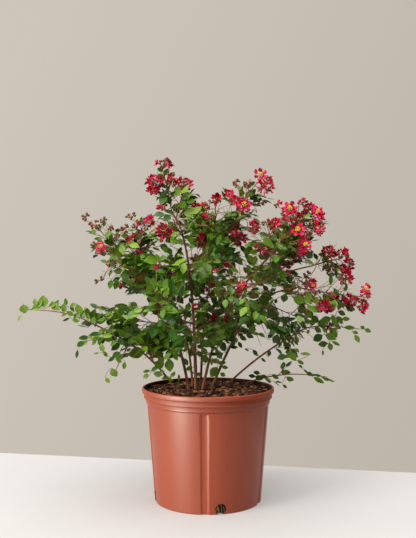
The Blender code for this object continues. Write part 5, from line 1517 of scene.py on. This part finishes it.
def roots_mesh(shade):
    """Pale roots that cross the drain holes from behind."""
    rng = random.Random(SEED + 2)
    batch = Batch("drain_roots", [shade])
    for i in range(DRAINS):
        middle = math.radians(FIRST_DRAIN_DEG + i * 360 / DRAINS - 90)
        for _ in range(ROOTS_IN_DRAIN):
            start = middle + rng.uniform(-0.10, 0.10)
            end = start + rng.uniform(-0.03, 0.03)
            low, high = rng.uniform(0.0012, 0.006), rng.uniform(0.012, 0.022)
            path = []
            for k in range(6):
                t = k / 5
                a = start + (end - start) * t + rng.uniform(-0.008, 0.008)
                z = low + (high - low) * t
                r = wall_radius(z) - WALL * 0.75 + rng.uniform(-0.0004, 0.0004)
                path.append(Vector(polar(r, a, z)))
            points, tris = tube(path, [rng.uniform(0.0004, 0.0009)] * 6, 4)
            batch.add([tuple(p) for p in points], tris, 0)
    return batch.build()


# Stage


def light(name, place, target, size, power, colour):
    """A rectangle of light at a place, turned to its target."""
    data = bpy.data.lights.new(name, "AREA")
    data.shape = "RECTANGLE"
    data.size, data.size_y = size
    data.energy = power
    data.color = colour
    made = put_in_scene(name, data)
    made.location = place
    made.rotation_euler = (Vector(target) - Vector(place)).to_track_quat("-Z", "Y").to_euler()
    return made


def wall_shade():
    """A surround that glows evenly, a little brighter at the top left: painted light in place of a lit wall.
    """
    made, nodes, links, shader = new_material("surround")
    shader.inputs["Base Color"].default_value = (0.0, 0.0, 0.0, 1.0)
    shader.inputs["Specular IOR Level"].default_value = 0.0
    shader.inputs["Roughness"].default_value = 1.0
    shader.inputs["Emission Strength"].default_value = 1.0
    place = nodes.new("ShaderNodeTexCoord")
    parts = nodes.new("ShaderNodeSeparateXYZ")
    links.new(place.outputs["Object"], parts.inputs["Vector"])
    slope = nodes.new("ShaderNodeMath")
    slope.operation = "MULTIPLY_ADD"
    slope.inputs[1].default_value = -0.5
    links.new(parts.outputs["Z"], slope.inputs[0])
    links.new(parts.outputs["X"], slope.inputs[2])
    span = nodes.new("ShaderNodeMapRange")
    span.inputs["From Min"].default_value = -2.0
    span.inputs["From Max"].default_value = 1.4
    links.new(slope.outputs["Value"], span.inputs["Value"])
    tones = nodes.new("ShaderNodeValToRGB")
    tones.color_ramp.elements[0].color = (*srgb(205, 197, 186), 1.0)
    tones.color_ramp.elements[1].color = (*srgb(190, 182, 171), 1.0)
    links.new(span.outputs["Result"], tones.inputs["Fac"])
    links.new(tones.outputs["Color"], shader.inputs["Emission Color"])
    return made


def stage_set():
    """A pale table top whose far edge slants a little, a grey-beige wall, and soft light from the left."""
    corners = [(-4.0, -5.0), (4.0, -5.0), (4.0, -0.46), (-4.0, 1.05)]
    solid = bmesh.new()
    bottom = [solid.verts.new((x, y, -TABLE_THICKNESS)) for x, y in corners]
    face = solid.faces.new(bottom)
    grown = bmesh.ops.extrude_face_region(solid, geom=[face])
    moved = [v for v in grown["geom"] if isinstance(v, bmesh.types.BMVert)]
    bmesh.ops.translate(solid, vec=(0, 0, TABLE_THICKNESS), verts=moved)
    bmesh.ops.recalc_face_normals(solid, faces=solid.faces)
    data = finished_mesh("table_top", solid)
    floor = material("floor_white", (0.595, 0.58, 0.57), 0.7, spread=0.015, scale=8.0, bump=0.02)
    shader = floor.node_tree.nodes["Principled BSDF"]
    # The table top glows a little: painted light that lifts the shadows cast on it.
    shader.inputs["Emission Color"].default_value = (1.0, 0.98, 0.96, 1.0)
    shader.inputs["Emission Strength"].default_value = 0.24
    data.materials.append(floor)
    top = put_in_scene("table_top", data)
    top.visible_diffuse = False
    data = bpy.data.meshes.new("wall")
    data.from_pydata([(-5, 3, -2), (5, 3, -2), (5, 3, 4), (-5, 3, 4)], [], [(0, 1, 2, 3)])
    data.materials.append(wall_shade())
    wall = put_in_scene("wall", data)
    wall.visible_diffuse = False
    world = bpy.data.worlds.new("surround")
    bpy.context.scene.world = world
    world.use_nodes = True
    back = world.node_tree.nodes["Background"]
    back.inputs["Color"].default_value = (1.0, 0.96, 0.91, 1.0)
    back.inputs["Strength"].default_value = AMBIENT
    light("key", (-3.42, -2.40, 1.98), (0, 0, 0.3), size=(2.1, 3.3), power=140, colour=(1.0, 0.97, 0.92))
    light("overhead", (0.1, -0.2, 2.6), (0, 0, 0.3), size=(2.4, 2.4), power=64, colour=(1.0, 0.98, 0.96))


def pot_sheen(pot):
    """A low strip of light that only the pot's wall mirrors."""
    place, target = (-1.60, -1.35, 0.24), (0, 0, 0.12)
    sheen = light("sheen", place, target, size=(0.56, 0.6), power=180, colour=(1.0, 0.97, 0.82))
    sheen.visible_diffuse = False
    lit = bpy.data.collections.new("sheen_on")
    lit.objects.link(pot)
    sheen.light_linking.receiver_collection = lit


def camera():
    """The camera stands level where the photo was taken from."""
    data = bpy.data.cameras.new("camera")
    data.sensor_width = SENSOR
    data.lens = LENS
    made = put_in_scene("camera", data)
    made.location = VIEW
    made.rotation_euler = (math.radians(90), 0, 0)
    bpy.context.scene.camera = made


def dress(made, slot, *nodes):
    """A finished piece rides on the plant's one body and stands for its solids."""
    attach(made, "root")
    if nodes:
        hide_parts(*nodes)


def main():
    bpy.context.scene.view_settings.view_transform = "Standard"
    camera()
    stage_set()
    shades = {}
    for tones, roughness, gloss in (
        (LEAF_TONES, 0.42, 0.42),
        (PETAL_TONES, 0.6, 0.15),
        (BUD_TONES, 0.5, 0.4),
        (TWIG_TONES, 0.6, 0.4),
    ):
        for name, colour in tones.items():
            shades[name] = material(name, colour, roughness, gloss=gloss)
    shades["stamen"] = material("stamen", srgb(255, 204, 72), 0.5)
    grain = {"spread": 0.35, "scale": 160.0, "bump": 0.5, "stretch": (1.0, 1.0, 0.22)}
    bark = material("bark", srgb(172, 112, 72), 0.65, **grain)
    grain = {"spread": 0.05, "scale": 30.0, "bump": 0.03, "stretch": (1.0, 1.0, 0.06)}
    pot = material("pot_plastic", srgb(212, 97, 63), 0.34, **grain)
    lip = material("pot_lip", srgb(212, 97, 63), 0.52, **grain, gloss=0.35)
    # The pot's inside is dark brown, painted shade.
    inside = material("pot_inside", srgb(72, 42, 31), 0.8, spread=0.35, scale=60.0, bump=0.2, gloss=0.1)
    soil = material("potting_mix", srgb(50, 32, 24), 0.95, spread=0.6, scale=260.0, bump=0.8)
    chips = [
        material("chip_dark", srgb(74, 44, 32), 0.9, spread=0.4),
        material("chip_red", srgb(156, 86, 58), 0.85, spread=0.35),
        material("chip_brown", srgb(184, 112, 76), 0.8, spread=0.3),
        material("chip_tan", srgb(232, 164, 118), 0.8, spread=0.25),
    ]
    grown = limb_paths()
    for limb, path in grown.values():
        dress(bark_mesh(limb, path, bark), "bark", limb.name)
    crown = Crown(grown, shades)
    for mass in MASSES:
        crown.grow_spine(mass)
    for head in HEADS:
        crown.grow_head(head)
    for place in FACED:
        crown.grow_faced(*place)
    for mass in MASSES:
        if mass.blossoms and is_hind(mass):
            crown.grow_hind_heads(mass)
    crown.grow_shown_leaves()
    for sprig in SPRIGS:
        crown.grow_sprig(sprig)
    for mass in MASSES:
        crown.grow_mass(mass)
    for limb, path in grown.values():
        crown.grow_limb_twigs(limb, path)
    print(crown.count)
    names = [mass.name for mass in MASSES]
    dress(crown.leaves.build(), "foliage", *names)
    dress(crown.twigs.build(), "bark")
    for batch in (crown.petals, crown.stamens, crown.buds):
        dress(batch.build(), "foliage")
    shell = pot_mesh(pot, inside, lip)
    dress(shell, "pot", "pot")
    pot_sheen(shell)
    dress(soil_mesh(soil), "potting_mix", "potting_mix")
    dress(chips_mesh(chips), "potting_mix")
    dress(roots_mesh(material("root", srgb(176, 138, 92), 0.8)), "potting_mix")


main()
